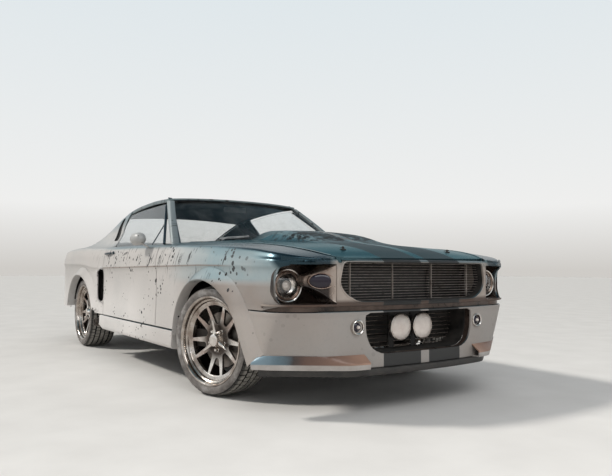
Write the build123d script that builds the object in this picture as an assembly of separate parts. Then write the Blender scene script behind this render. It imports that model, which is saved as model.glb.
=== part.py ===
from build123d import *
import math
import os

# A 1960s fastback muscle car with a deep front valance, flared arches and 19 inch wheels.
# Millimetres. +X points forward, +Y to the car's left and +Z up. The origin is on the ground, halfway
# between the axles and under the middle of the car. The front wheels stand steered to the left.

os.makedirs("parts", exist_ok=True)

# Wheels and axles
WHEELBASE = 2743.0
AXLE_X = WHEELBASE / 2
TRACK_Y = 736.0
TYRE_R = 320.5
TYRE_W = 238.0
BEAD_R = 246.0
RIM_LIP_R = 261.0
RIM_LIP_T = 8.0
RIM_INNER_Y = TRACK_Y - TYRE_W / 2 + 2
RIM_OUTER_Y = TRACK_Y + TYRE_W / 2 - 3
RIM_WALL = 14.0
RIM_DISH = 54.0
SPOKES = 10
HUB_R = 62.0
DISC_R = 165.0
DISC_T = 18.0
SPINDLE_R = 20.0
FIT = 0.05
TOUCH = 0.3
STEER_REST = 15.0
KINGPIN_Y = 690.0
KINGPIN_R = 12.0
LOWER_JOINT_Z = 225.0
UPPER_JOINT_Z = 425.0
KNUCKLE_BOSS_H = 36.0

# Body panels
PANEL = 22.0
SHUT_GAP = 9.0
SILL_Z = 353.0
TUCK_Z = 600.0
TUCK_IN = 13.0
SILL_IN = 8.0
SKIRT_BOTTOM_Z = 228.0
SKIRT_TOP_Z = 346.0
FLOOR_Z = 222.0
FLOOR_T = 18.0
REAR_FLOOR_Z = 480.0
HOUSE_Y = TRACK_Y - TYRE_W / 2 - 57
APRON_Y = 420.0
ROCKER_Y = 838.0
JACK_XS = (600.0, -550.0)
JACK_Y = 800.0
JACK_PAD_R = 32.0
JACK_PAD_H = 8.0
GLASS = 6.0

# Stations along the car
FIREWALL_X = 745.0
HOOD_REAR_X = 780.0
DOOR_FRONT_X = 655.0
DOOR_REAR_X = -565.0
HEADER_X = 190.0
ROOF_REAR_X = -950.0
BACKLIGHT_REAR_X = -1700.0
TRUNK_FRONT_X = -1795.0
NOSE_X = AXLE_X + 678.5
CORNER_X = NOSE_X + 130
BOW_X = NOSE_X + 268
TAIL_X = -2322.0
TAIL_T = 16.0
REAR_TIP = -2348.46

# Doors: the hinge line lies behind the front edge and inside the skin.
DOOR_T = 105.0
HINGE_X = DOOR_FRONT_X - 110.0
HINGE_Y = 874.0
HINGE_PIN_R = 8.0
HINGE_ZS = (440.0, 800.0)
HINGE_ARM_H = 24.0
POST_Y = 728.0
POST_T = 23.0
PILLAR_FOOT_Z = 914.0
GLASS_LEAN = 0.602
MIRROR = (430.0, 938.0, 952.0)

# Wheel openings
ARCH_R = 354.0
FLARE_PROUD = 20.0

# Front: levels of the upper surround, the dark bumper slot and the valance
NOSE_TOP_Z = 790.0
NOSE_BOTTOM_Z = 555.0
NOSE_RIM = 24.0
VALANCE_TOP_Z = 530.0
VALANCE_BOTTOM_Z = 241.0
VALANCE_WALL = 45.0
WING_TOP_Z = 300.0
WING_PROUD = 52.0
WING_INNER_Y = 405.0
SPLITTER_PROUD = 18.0
CORNER_AIM = (0.795, 0.607)
CORNER_POINT = (NOSE_X + 155, 785.0)
CORNER_TUCK = 70.0
SPLITTER_TUCK = 25.0
SPLITTER_WIDE = 70.0
GRILLE_TOP_Z = 779.0
GRILLE_BOTTOM_Z = 575.0
GRILLE_Y = 518.0
GRILLE_X = NOSE_X + 172
GRILLE_BARS = 16
GRILLE_POSTS_Y = (-441.0, -147.0, 147.0, 441.0)
LOWER_GRILLE_X = NOSE_X + 78
LOWER_GRILLE_BARS = 9

# Lamps: the middle of the front of each one on the left
HEADLAMP = (NOSE_X + 60, 748.0, 658.0)
HEADLAMP_R = 88.0
POD_LAMP = (NOSE_X + 172, 622.0, 682.0)
POD_LAMP_R = 42.0
TURN_LAMP = (NOSE_X + 246, 446.0, 450.0)
TURN_LAMP_R = 39.0
DRIVING_LAMP = (NOSE_X + 168, 83.0, 428.0)
DRIVING_LAMP_R = 75.0
TAIL_LAMP_YS = (510.0, 600.0, 690.0)

# Steering wheel on the left, on a column that leans
WHEEL_HUB = (290.0, 370.0, 872.0)
COLUMN_FOOT = (494.0, 370.0, 793.0)
HAND_WHEEL_R = 190.0


def along(points):
    """A smooth line through (place, value) pairs, with no overshoot between them."""
    points = sorted(points)
    xs = [p[0] for p in points]
    vs = [p[1] for p in points]
    steps = [b - a for a, b in zip(xs, xs[1:])]
    slopes = [(b - a) / s for a, b, s in zip(vs, vs[1:], steps)]
    ends = [slopes[0]] + [0.0] * (len(xs) - 2) + [slopes[-1]]
    for i in range(1, len(xs) - 1):
        if slopes[i - 1] * slopes[i] > 0:
            w1 = 2 * steps[i] + steps[i - 1]
            w2 = steps[i] + 2 * steps[i - 1]
            ends[i] = (w1 + w2) / (w1 / slopes[i - 1] + w2 / slopes[i])

    def value(x):
        x = min(max(x, xs[0]), xs[-1])
        i = max(k for k in range(len(xs) - 1) if xs[k] <= x)
        t = (x - xs[i]) / steps[i]
        rise = vs[i] * (1 + 2 * t) * (1 - t) ** 2 + vs[i + 1] * t * t * (3 - 2 * t)
        return rise + steps[i] * (ends[i] * t * (1 - t) ** 2 + ends[i + 1] * t * t * (t - 1))

    return value


# Lines that run the length of the car, as (x, value)
side_y = along([
    (-2350, 800), (-2200, 846), (-1900, 884), (-AXLE_X, 898), (-700, 900), (0, 900),
    (700, 898), (AXLE_X, 893), (1800, 886), (2050, 868), (2200, 842), (2350, 800),
])
crease_z = along([(-2350, 785), (-AXLE_X, 778), (-700, 744), (0, 750), (600, 757), (AXLE_X, 762), (2150, 752)])
belt_z = along([
    (-2350, 900), (-2200, 918), (-1800, 940), (-1400, 946), (-1000, 936), (-500, 924), (0, 919),
    (700, 907), (1200, 893), (1600, 876), (1900, 855), (2100, 828), (2250, 798),
])
belt_in = along([(-2350, 60), (-1400, 95), (-600, 88), (700, 82), (1600, 78), (2200, 70)])
hood_y = along([(600, 700), (1200, 694), (1700, 678), (2000, 652), (2150, 618), (2300, 545)])
hood_z = along([
    (600, 952), (780, 956), (1000, 948), (1400, 926), (1800, 898), (2000, 876), (2150, 846), (2300, 797),
])
bulge_rise = along([
    (690, 10), (780, 16), (900, 38), (1020, 58), (1150, 69), (1300, 68), (1450, 56), (1560, 38), (1680, 14),
    (1800, 3), (2300, 1),
])
bulge_y = along([(690, 196), (780, 208), (1000, 262), (1250, 294), (1600, 280), (1900, 262), (2300, 240)])
rail_y = along([(-2350, 612), (-1790, 616), (-1400, 608), (-950, 602), (-500, 604), (110, 592)])
rail_z = along([
    (-2350, 912), (-1950, 960), (-1790, 984), (-1500, 1058), (-1200, 1146), (-950, 1212), (-700, 1258),
    (-400, 1284), (-100, 1296), (110, 1294),
])
roof_z = along([
    (-2350, 928), (-1950, 976), (-1790, 1002), (-1500, 1080), (-1200, 1172), (-950, 1238), (-700, 1286),
    (-400, 1314), (-150, 1324), (110, 1318), (190, 1310),
])

# Where a point of an outline lies, for outlines drawn across each axis
PLACES = {
    "x": lambda at, u, v: (at, u, v),
    "y": lambda at, u, v: (u, at, v),
    "z": lambda at, u, v: (u, v, at),
}
DIRECTIONS = {"x": (1, 0, 0), "y": (0, 1, 0), "z": (0, 0, 1)}


def outline(axis, at, steps):
    """A closed wire across an axis. A step is a point, or two points for an arc through the first."""
    place = PLACES[axis]
    points = [place(at, *steps[0])]
    edges = []
    for step in steps[1:] + [steps[0]]:
        if isinstance(step[0], tuple):
            points.append(place(at, *step[1]))
            edges.append(ThreePointArc(points[-2], place(at, *step[0]), points[-1]))
        else:
            points.append(place(at, *step))
            edges.append(Line(points[-2], points[-1]))
    return Wire(edges)


def prism(axis, low, high, steps):
    """A solid between two places on an axis, with an outline across it."""
    return extrude(Face(outline(axis, low, steps)), amount=high - low, dir=DIRECTIONS[axis])


def between(first, last):
    """A solid with straight sides from one closed wire to another."""
    return Part() + Solid.make_loft([first, last], True)


def skin(stations, section):
    """A solid through a section at each station along the car."""
    return Part() + Solid.make_loft([outline("x", x, section(x)) for x in stations], len(stations) == 2)


def block(x0, x1, y0, y1, z0, z1):
    return Pos((x0 + x1) / 2, (y0 + y1) / 2, (z0 + z1) / 2) * Box(abs(x1 - x0), abs(y1 - y0), abs(z1 - z0))


def rod(start, end, radius):
    """A round bar between two points."""
    start, end = Vector(*start), Vector(*end)
    return extrude(Plane(origin=start, z_dir=end - start) * Circle(radius), amount=(end - start).length)


def pipe(points, radius, bend):
    """A round tube along straight runs with rounded bends."""
    path = FilletPolyline(*points, radius=bend)
    return sweep(Plane(origin=path @ 0, z_dir=path % 0) * Circle(radius), path=path)


def other_side(shape):
    return mirror(shape, about=Plane.XZ)


def both(shape):
    return shape + other_side(shape)


def main_solid(shape):
    return max(shape.solids(), key=lambda solid: solid.volume)


def save(name, *shapes):
    solids = [solid for shape in shapes for solid in shape.solids()]
    export_step(Compound(children=solids), f"parts/{name}.step")


def save_pair(name, shape):
    """One node that holds a piece and its mirror image."""
    save(name, shape, other_side(shape))


def save_sides(name, shape):
    """A node for the left piece and a node for its mirror image on the right."""
    save(name + "_left", shape)
    save(name + "_right", other_side(shape))


# The front seen from above: a bowed face and rounded corners, grown outward by a distance.
def front_plan(grow, back):
    side, corner_y = side_y(NOSE_X) + grow, 660 + grow * 0.9
    bow = [
        (NOSE_X, -side),
        ((CORNER_X + grow * 0.7, -815 - grow * 0.7), (CORNER_X + 72 + grow, -corner_y)),
        ((BOW_X + grow, 0), (CORNER_X + 72 + grow, corner_y)),
        ((CORNER_X + grow * 0.7, 815 + grow * 0.7), (NOSE_X, side)),
    ]
    return bow if back == NOSE_X else [(back, -side)] + bow + [(back, side)]


def front_slab(grow, back, low, high):
    return prism("z", low, high, front_plan(grow, back))


# Wheel opening seen from the side: round over the top, raked forward in front.
def arch_steps(axle_x):
    a = math.radians(38)
    return [
        (axle_x - ARCH_R, 100), (axle_x - ARCH_R, TYRE_R),
        ((axle_x - ARCH_R * math.cos(a), TYRE_R + ARCH_R * math.sin(a)), (axle_x, TYRE_R + ARCH_R)),
        ((axle_x + 230, 634), (axle_x + 443, 500)),
        (axle_x + 612, 250), (axle_x + 720, 100),
    ]


def brow_steps(axle_x):
    """The outer edge of the flare, a brow that widens toward the front."""
    return [
        (axle_x - 372, 100), (axle_x - 372, TYRE_R),
        ((axle_x - 262, 590), (axle_x - 30, 722)),
        ((axle_x + 270, 730), (axle_x + 530, 551)),
        (axle_x + 720, 330), (axle_x + 850, 100),
    ]


def arch_hole(axle_x):
    return prism("y", 560, 1000, arch_steps(axle_x))


def flare(axle_x, keep):
    """The band that stands proud around a wheel opening, on the left."""
    base = side_y(axle_x) - TUCK_IN - 8
    band = prism("y", base, side_y(axle_x) + FLARE_PROUD, brow_steps(axle_x))
    return (band - arch_hole(axle_x)) & keep


# Side panels share one section: sill, tuck, crease, shoulder, belt.
def side_points(x):
    y = side_y(x)
    shoulder_z = crease_z(x) + 0.62 * (belt_z(x) - crease_z(x))
    turn = (y - 17 - 0.27 * (belt_in(x) - 17), shoulder_z + 0.72 * (belt_z(x) - shoulder_z))
    return {
        "sill": (y - SILL_IN, SILL_Z), "tuck": (y - TUCK_IN, TUCK_Z), "crease": (y, crease_z(x)),
        "shoulder": (y - 17, shoulder_z), "turn": turn, "belt": (y - belt_in(x), belt_z(x)),
    }


def inner(point, dy, dz=0.0):
    return (point[0] - dy, point[1] - dz)


def hood_edge(x):
    """The top edge of the fender beside the hood."""
    return (hood_y(x) + SHUT_GAP / 2, belt_z(x) + 0.35 * (hood_z(x) - belt_z(x)))


def shelf_z(x):
    return hood_edge(x)[1] - 40


def fender_section(x):
    p, edge = side_points(x), hood_edge(x)
    low = (edge[0], shelf_z(x) + 4 * TOUCH)
    return [
        p["sill"], p["tuck"], p["crease"], p["shoulder"], (p["turn"], p["belt"]), edge, low,
        (low[0] + 14, low[1]), (low[0] + 14, edge[1] - PANEL), inner(p["belt"], 4, PANEL),
        (inner(p["turn"], PANEL, 4), inner(p["shoulder"], PANEL)),
        inner(p["crease"], PANEL), inner(p["tuck"], PANEL), inner(p["sill"], PANEL),
    ]


def make_fender():
    body = skin([DOOR_FRONT_X + SHUT_GAP, 1000, AXLE_X, 1700, 1900, NOSE_X - TOUCH], fender_section)
    keep = block(AXLE_X - 500, AXLE_X, 500, 1000, SILL_Z, 900)
    keep += block(AXLE_X, NOSE_X - TOUCH, 500, 1000, NOSE_BOTTOM_Z, 900)
    body += flare(AXLE_X, keep)
    body -= block(AXLE_X + 100, NOSE_X + 40, 500, 1000, 100, NOSE_BOTTOM_Z)
    return body - arch_hole(AXLE_X)


def quarter_section(x):
    p = side_points(x)
    rail = (rail_y(x), rail_z(x))
    return [
        p["sill"], p["tuck"], p["crease"], p["shoulder"], (p["turn"], p["belt"]), rail,
        inner(rail, 6, 26), inner(p["belt"], 18, 14), (inner(p["turn"], PANEL, 4), inner(p["shoulder"], PANEL)),
        inner(p["crease"], PANEL), inner(p["tuck"], PANEL), inner(p["sill"], PANEL),
    ]


# The side glass seen from the side, and the room that the quarter panel leaves around it
GLASS_EDGE = [(570, 880), (570, 917), (96, 1254), ((-300, 1250), (-708, 1214)), (-562, 922), (-562, 880)]
GLASS_ROOM = [(600, 915), (90, 1330), (-723, 1330), (-723, 1216), (-583, 934), (-560, 934), (-560, 915)]


def rail_room(x):
    """The space that the roof rail takes from the quarter panel."""
    low = rail_z(x) - 28 - TOUCH
    return [(500, low), (700, low), (700, 1400), (500, 1400)]


def scoop_parts():
    """The lower air scoop ahead of the rear wheel, and the dark mouth at its front."""
    front, back = DOOR_REAR_X - 25, DOOR_REAR_X - 330
    shell = between(
        outline("x", front, [(872, 466), (930, 482), (938, 720), (880, 738)]),
        outline("x", back, [(872, 500), (888, 510), (896, 690), (880, 705)]),
    )
    mouth = prism("x", front - 70, front + 1, [(893, 486), (918, 494), (926, 708), (896, 716)])
    return shell, mouth


def make_quarter():
    body = skin([DOOR_REAR_X - SHUT_GAP, -750, -950, -1200, -1500, -1790, -2050, TAIL_X], quarter_section)
    body += flare(-AXLE_X, block(-AXLE_X - 500, DOOR_REAR_X - 40, 500, 1000, SILL_Z, 900))
    shell, mouth = scoop_parts()
    body += shell
    body -= mouth
    body -= arch_hole(-AXLE_X)
    body -= prism("y", 400, 1000, GLASS_ROOM)
    return body - skin([-540, -750, ROOF_REAR_X - TOUCH], rail_room)


def roof_section(x):
    y, low, high = rail_y(x), rail_z(x), roof_z(x)
    return [
        (-y, low - 28), (-y, low), ((0, high), (y, low)), (y, low - 28),
        (y - 44, low - 28), (y - 44, low - 10), ((0, high - 16), (-y + 44, low - 10)), (-y + 44, low - 28),
    ]


def make_roof():
    """The roof with its rails and the two windshield pillars."""
    shell = skin([HEADER_X, 110, -150, -400, -700, ROOF_REAR_X], roof_section)
    front = prism("z", 1150, 1400, [(-960, -700), (95, -700), ((HEADER_X - 1, 0), (95, 700)), (-960, 700)])
    foot_y = POST_Y - POST_T + 7
    foot = outline("z", PILLAR_FOOT_Z + TOUCH, [(590, foot_y), (650, foot_y), (650, 765), (590, 765)])
    head = outline("z", 1272, [(96, 560), (168, 560), (160, 598), (88, 598)])
    return (shell & front) + both(between(foot, head))


def cowl_section(x):
    y, low = hood_y(x) + SHUT_GAP / 2 - 3 * TOUCH, hood_edge(x)[1]
    return [(-y, low - 16), (-y, low), ((0, hood_z(x) - 6), (y, low)), (y, low - 16)]


def make_cowl():
    return skin([590, 680, HOOD_REAR_X - SHUT_GAP], cowl_section)


def glass_arc(x_middle, x_side, y):
    return [
        (x_side, -y), ((x_middle, 0), (x_side, y)),
        (x_side - GLASS, y), ((x_middle - GLASS, 0), (x_side - GLASS, -y)),
    ]


def over_glass(x):
    """What lies above the underside of the roof, out past its edges."""
    high, rise = roof_z(x) - 16 - TOUCH, roof_z(x) - rail_z(x) - 6
    return [(-640, high - 1.37 * rise), ((0, high), (640, high - 1.37 * rise)), (640, 1500), (-640, 1500)]


def under_glass(x):
    """What lies below the top of the cowl, out past its edges."""
    high, rise = hood_z(x) - 6 + TOUCH, hood_z(x) - 6 - hood_edge(x)[1]
    return [(-760, 800), (-760, high - 1.17 * rise), ((0, high), (760, high - 1.17 * rise)), (760, 800)]


def make_windshield(roof, cowl):
    """Curved glass that leans back, cut to the pillars, the roof and the cowl."""
    low, high = outline("z", 905, glass_arc(741, 634, 724)), outline("z", 1330, glass_arc(124, 23, 575))
    glass = between(low, high) - skin([330, 110, -200], over_glass) - skin([500, 700, 900], under_glass)
    return main_solid(glass - roof - cowl)


def shell_section(inset, top_drop, low_drop, thick):
    """A thin crowned sheet between the rails, with its edges set in."""
    def section(x):
        y, low, high = rail_y(x) - inset, rail_z(x) - low_drop, roof_z(x) - top_drop
        return [(-y, low), ((0, high), (y, low)), (y, low - thick), ((0, high - thick), (-y, low - thick))]
    return section


def make_backlight():
    section = shell_section(7, 6, 8, GLASS)
    return skin([ROOF_REAR_X - TOUCH, -1200, -1500, BACKLIGHT_REAR_X], section)


def make_deck_panel():
    return skin([BACKLIGHT_REAR_X - TOUCH, TRUNK_FRONT_X + SHUT_GAP], shell_section(6, 0, 0, 20))


def make_trunk_lid():
    """The lid, with an upturned lip along its rear edge."""
    rear = TAIL_X + SHUT_GAP
    lid = skin([TRUNK_FRONT_X, -1950, -2150, rear], shell_section(15, 0, 0, 20))
    lip_y = rail_y(rear) - 18
    lip = between(
        outline("x", -2160, [(-lip_y, 925), (lip_y, 925), (lip_y, 938), ((0, 952), (-lip_y, 938))]),
        outline("x", rear, [(-lip_y, 905), (lip_y, 905), (lip_y, 950), ((0, 966), (-lip_y, 950))]),
    )
    return lid + lip


def hood_section(x):
    y, low = hood_y(x) - SHUT_GAP / 2, hood_edge(x)[1]
    return [(-y, low - 20), (-y, low), ((0, hood_z(x)), (y, low)), (y, low - 20)]


def bulge_section(x):
    y, base, top = bulge_y(x), hood_z(x) - 14, hood_z(x) + bulge_rise(x)
    return [(-y - 26, base), (-y + 20, top - 5), ((0, top), (y - 20, top - 5)), (y + 26, base)]


def make_hood():
    panel = skin([HOOD_REAR_X, 1100, 1560, 1800, 2000, 2150, 2300], hood_section)
    panel += skin([HOOD_REAR_X, 930, 1150, 1400, 1600, 1760, 2300], bulge_section)
    return panel & front_slab(-NOSE_RIM - SHUT_GAP, 600, 600, 1100)


def door_section(x):
    p, y = side_points(x), side_y(x) - DOOR_T
    return [
        p["sill"], p["tuck"], p["crease"], p["shoulder"], (p["turn"], p["belt"]),
        (y, p["belt"][1] - 4), (y, SILL_Z + 20), (y + 30, SILL_Z),
    ]


def hinge_notch(z):
    """Room in the door for the hinge arm to come in from the post and swing to the front."""
    reach, high = HINGE_PIN_R + 10, HINGE_ARM_H / 2 + 5
    return block(HINGE_X - reach, DOOR_FRONT_X + 5, 700, HINGE_Y + 11, z - high, z + high)


def make_door():
    body = skin([DOOR_REAR_X, -200, 200, DOOR_FRONT_X], door_section)
    for z in HINGE_ZS:
        body -= hinge_notch(z)
        body -= rod((HINGE_X, HINGE_Y, z - 50), (HINGE_X, HINGE_Y, z + 50), HINGE_PIN_R + FIT)
    top = 1085
    return body + rod((318, 803, 895), (318, 803 - GLASS_LEAN * (top - 895), top), 7)


def make_door_glass(door):
    """Flat side glass that leans in, from the top of the door to just under the roof rail."""
    y, rise = 800, 400
    pane = prism("x", -800, 700, [
        (y, 900), (y + GLASS, 900), (y + GLASS - GLASS_LEAN * rise, 900 + rise), (y - GLASS_LEAN * rise, 900 + rise)])
    glass = (pane & prism("y", 400, 1000, GLASS_EDGE)) - door
    return Compound(children=[s for s in glass.solids() if s.volume > 20000])


def make_mirror(door):
    """A bullet mirror on a stalk that stands on the door's shoulder."""
    x, y, z = MIRROR
    body = rod((x - 50, y, z), (x + 30, y, z), 46)
    body += Pos(x + 30, y, z) * Sphere(46)
    body += rod((x, y - 6, z), (x + 10, 838, 880), 8)
    return main_solid(body - door)


def make_hinge_posts():
    """The door post each side, with two hinge arms and their pins."""
    post = block(528, 650, POST_Y - POST_T, POST_Y, FLOOR_Z + FLOOR_T, PILLAR_FOOT_Z)
    half = HINGE_ARM_H / 2
    for z in HINGE_ZS:
        post += block(HINGE_X - 9, HINGE_X + 9, POST_Y - 5, HINGE_Y, z - half, z + half)
        post += rod((HINGE_X, HINGE_Y, z - half), (HINGE_X, HINGE_Y, z + half), 9)
        post += rod((HINGE_X, HINGE_Y, z - half - 26), (HINGE_X, HINGE_Y, z + half + 26), HINGE_PIN_R)
    return post


def grille_outline(grow):
    """The mouth of the grille: wide at mid height, with its lower corners cut."""
    top, low, wide = GRILLE_TOP_Z + grow, GRILLE_BOTTOM_Z - grow, GRILLE_Y + grow
    return [
        (0, top), (wide, top), ((wide + 27, 668), (wide - 22, low + 30)), (wide - 95, low),
        (-wide + 95, low), (-wide + 22, low + 30), ((-wide - 27, 668), (-wide, top)),
    ]


def corner_section(x):
    """The solid corner of the surround above the lamp, which carries on the fender's top."""
    p, edge = side_points(x), hood_edge(x)
    return [(p["crease"][0], 700), p["crease"], p["shoulder"], (p["turn"], p["belt"]), edge, (edge[0], 700)]


def make_nose():
    """The surround that carries the grille and the lamps, with a pod each side for the small lamp."""
    body = front_slab(0, NOSE_X, NOSE_BOTTOM_Z, NOSE_TOP_Z - 32)
    body += front_slab(0, NOSE_X, NOSE_TOP_Z - 60, NOSE_TOP_Z) - front_slab(-NOSE_RIM, NOSE_X - 5, 700, 900)
    body += both(skin([NOSE_X, NOSE_X + 80, CORNER_X + 72], corner_section) & front_slab(0, NOSE_X, 690, 900))
    body -= block(NOSE_X - 5, NOSE_X + 140, -505, 505, 500, 900)
    body -= prism("x", NOSE_X - 10, NOSE_X + 350, grille_outline(0))
    pocket = [(560, 567), (830, 567), (843, 620), (842, 720), (822, 766), (560, 766)]
    body -= both(prism("x", NOSE_X + 12, NOSE_X + 350, pocket))
    back = NOSE_X + 66
    pod = between(
        outline("y", 552, [(back, 580), (back + 152, 580), (back + 152, 765), (back, 765)]),
        outline("y", 690, [(back, 640), (back + 70, 640), (back + 70, 724), (back, 724)]),
    )
    pod += block(NOSE_X + 5, back + 4, 552, 640, 640, 724)
    x, y, z = POD_LAMP
    body += both(pod)
    return body - both(rod((x - 46, y, z), (x + 180, y, z), POD_LAMP_R + TOUCH))


def make_headlamp():
    x, y, z = HEADLAMP
    lamp = rod((NOSE_X + 12 + TOUCH, y, z), (x - 12, y, z), HEADLAMP_R - 6)
    lamp += rod((x - 24, y, z), (x, y, z), HEADLAMP_R)
    return lamp - rod((x - 6, y, z), (x + 1, y, z), HEADLAMP_R - 13)


def make_pod_lamp():
    x, y, z = POD_LAMP
    return rod((x - 46 + TOUCH, y, z), (x + 4, y, z), POD_LAMP_R)


def tucked_corner(more):
    """What lies outside the slanted corner of the valance, which tucks in toward its lower edge."""
    lean = CORNER_TUCK / (VALANCE_TOP_Z - VALANCE_BOTTOM_Z)
    place = Plane(
        origin=(CORNER_POINT[0] - CORNER_AIM[0] * more, CORNER_POINT[1] - CORNER_AIM[1] * more, VALANCE_TOP_Z),
        z_dir=(CORNER_AIM[0], CORNER_AIM[1], -lean))
    return place * Box(1600, 1600, 400, align=(Align.CENTER, Align.CENTER, Align.MIN))


def valance_mouth(grow):
    """The mouth of the valance: straight lips, narrower toward the chin."""
    half = [(398 + grow, 520 + grow * 0.5), (392 + grow, 410), (365 + grow, 348), (305 + grow, 309 - grow)]
    return [(0, 520 + grow * 0.5)] + half + [(-y, z) for y, z in reversed(half)]


def make_valance():
    """The lower front: a bowed wall with a mouth for the lower grille, and a wing each side."""
    back = AXLE_X + 360
    body = front_slab(0, back, VALANCE_BOTTOM_Z, VALANCE_TOP_Z)
    body -= front_slab(-VALANCE_WALL, back - 5, 200, 600) - both(tucked_corner(VALANCE_WALL))
    wings = front_slab(WING_PROUD, NOSE_X - 10, VALANCE_BOTTOM_Z, WING_TOP_Z) - front_slab(-20, NOSE_X - 20, 200, 400)
    body += wings - block(NOSE_X - 50, NOSE_X + 450, -WING_INNER_Y, WING_INNER_Y, 200, 400)
    body -= prism("x", NOSE_X + 100, NOSE_X + 350, valance_mouth(0))
    body -= both(tucked_corner(0))
    keep = block(AXLE_X + 300, NOSE_X - 10, 500, 1000, VALANCE_BOTTOM_Z, VALANCE_TOP_Z)
    body += both(flare(AXLE_X, keep))
    body -= both(arch_hole(AXLE_X))
    x, y, z = TURN_LAMP
    return body - both(rod((x - 26, y, z), (x + 60, y, z), TURN_LAMP_R + TOUCH))


def make_turn_lamp():
    x, y, z = TURN_LAMP
    return rod((x - 26 + TOUCH, y, z), (x, y, z), TURN_LAMP_R)


def make_bumper_bar():
    low, high = VALANCE_TOP_Z + TOUCH, NOSE_BOTTOM_Z - TOUCH
    return front_slab(-26, NOSE_X - 260, low, high) - front_slab(-60, NOSE_X - 270, low - 5, high + 5)


def make_splitter():
    low = VALANCE_BOTTOM_Z - 36
    lip = front_slab(SPLITTER_PROUD, NOSE_X, low, VALANCE_BOTTOM_Z - TOUCH)
    lip -= front_slab(-SPLITTER_WIDE, NOSE_X - 20, 100, 300) - both(tucked_corner(SPLITTER_TUCK + SPLITTER_WIDE))
    return lip - both(tucked_corner(SPLITTER_TUCK))


def make_upper_grille():
    """Thin level bars on posts, cut to the mouth."""
    pitch = (GRILLE_TOP_Z - GRILLE_BOTTOM_Z) / GRILLE_BARS
    bars = block(GRILLE_X - 14, GRILLE_X + 4, -4, 4, 500, 800)
    for y in GRILLE_POSTS_Y:
        bars += block(GRILLE_X - 14, GRILLE_X + 4, y - 4, y + 4, 500, 800)
    for i in range(GRILLE_BARS):
        z = GRILLE_BOTTOM_Z + pitch * (i + 0.5)
        bars += block(GRILLE_X - 8, GRILLE_X + 10, -600, 600, z - 2, z + 2)
    return bars & prism("x", GRILLE_X - 20, GRILLE_X + 14, grille_outline(-TOUCH))


def make_lower_grille():
    """A short duct behind the mouth of the valance, with level bars at its back."""
    x = LOWER_GRILLE_X
    duct = prism("x", x, x + 202, valance_mouth(12)) - prism("x", x - 5, x + 212, valance_mouth(0))
    duct &= front_slab(-VALANCE_WALL - TOUCH, NOSE_X - 50, 200, 600)
    pitch = 211 / LOWER_GRILLE_BARS
    bars = both(block(x, x + 14, DRIVING_LAMP[1] - 22, DRIVING_LAMP[1] + 22, 295, 530))
    for i in range(LOWER_GRILLE_BARS):
        z = 309 + pitch * (i + 0.5)
        bars += block(x, x + 12, -420, 420, z - 3, z + 3)
    return duct + (bars & prism("x", x - 5, x + 40, valance_mouth(6)))


def make_driving_lamp():
    x, y, z = DRIVING_LAMP
    lamp = rod((x - 56, y, z), (x, y, z), DRIVING_LAMP_R)
    return lamp + rod((LOWER_GRILLE_X + 14 + TOUCH, y, z), (x - 50, y, z), 18)


def make_floor_pan(hood, trunk_lid):
    """The pressed floor: tunnel, rockers, firewall, front aprons, radiator support and rear floor."""
    top = FLOOR_Z + FLOOR_T
    pan = block(-700, FIREWALL_X, -790, 790, FLOOR_Z, top)
    pan += both(block(-700, 960, 760, ROCKER_Y, FLOOR_Z, SKIRT_TOP_Z - 1))
    pan += block(-700, FIREWALL_X, -130, 130, FLOOR_Z, 420)
    wall_top = hood_edge(FIREWALL_X + 12)[1] - 16 - TOUCH
    pan += block(FIREWALL_X, FIREWALL_X + 12, -700, 700, FLOOR_Z, wall_top)
    pan += both(block(FIREWALL_X - 5, 960, 690, 790, FLOOR_Z, top))
    pan += block(-712, -700, -790, 790, FLOOR_Z, REAR_FLOOR_Z + 16)
    pan += block(TAIL_X, -700, -HOUSE_Y - 5, HOUSE_Y + 5, REAR_FLOOR_Z, REAR_FLOOR_Z + 16)
    pan += block(TAIL_X, TAIL_X + 32, -600, 600, REAR_FLOOR_Z, 868)
    pan += both(rod((TAIL_X + 20, 450, 860), (TAIL_X + 20, 450, 905), 9)) - Pos(0, 0, -TOUCH) * trunk_lid
    house = block(-AXLE_X - 394, -AXLE_X + 396, HOUSE_Y, 850, 430, 714)
    house -= block(-AXLE_X - 379, -AXLE_X + 381, HOUSE_Y + 15, 900, 400, 700)
    pan += both(house)
    rail = block(-2180, -705, 470, 530, 440, REAR_FLOOR_Z + 2)
    rail += block(-790, -735, 470, 530, 338, 470)
    rail += block(-2080, -2025, 470, 530, 352, 470)
    pan += both(rail)
    pan -= block(-760, FIREWALL_X + 50, -112, 112, 200, 402)
    for x in JACK_XS:
        pan += both(rod((x, JACK_Y, FLOOR_Z - JACK_PAD_H), (x, JACK_Y, FLOOR_Z + 2), JACK_PAD_R))
    return pan + make_aprons(hood)


def make_aprons(hood):
    """The engine bay: a wall each side with a shelf under the fender's edge, and the radiator support."""
    def wall(x):
        return [(APRON_Y, 330), (APRON_Y + 16, 330), (APRON_Y + 16, shelf_z(x)), (APRON_Y, shelf_z(x))]

    def shelf(x):
        y = hood_edge(x)[0] + 9
        return [(APRON_Y, shelf_z(x) - 14), (y, shelf_z(x) - 14), (y, shelf_z(x)), (APRON_Y, shelf_z(x))]
    stations = [FIREWALL_X + 6, 1000, AXLE_X, 1700, 1900, NOSE_X - TOUCH - 1]
    side = skin(stations, wall) + skin(stations, shelf)
    for x in (860, 1960):
        y = hood_y(x) - 70
        side += rod((x, y, shelf_z(x) - 5), (x, y, hood_edge(x)[1] - 10), 12) - Pos(0, 0, -TOUCH) * hood
    support = block(NOSE_X - 20, NOSE_X - 1, -660, 660, 330, 780)
    support -= block(NOSE_X - 30, NOSE_X + 10, -300, 300, 370, 740)
    return both(side) + support


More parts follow.
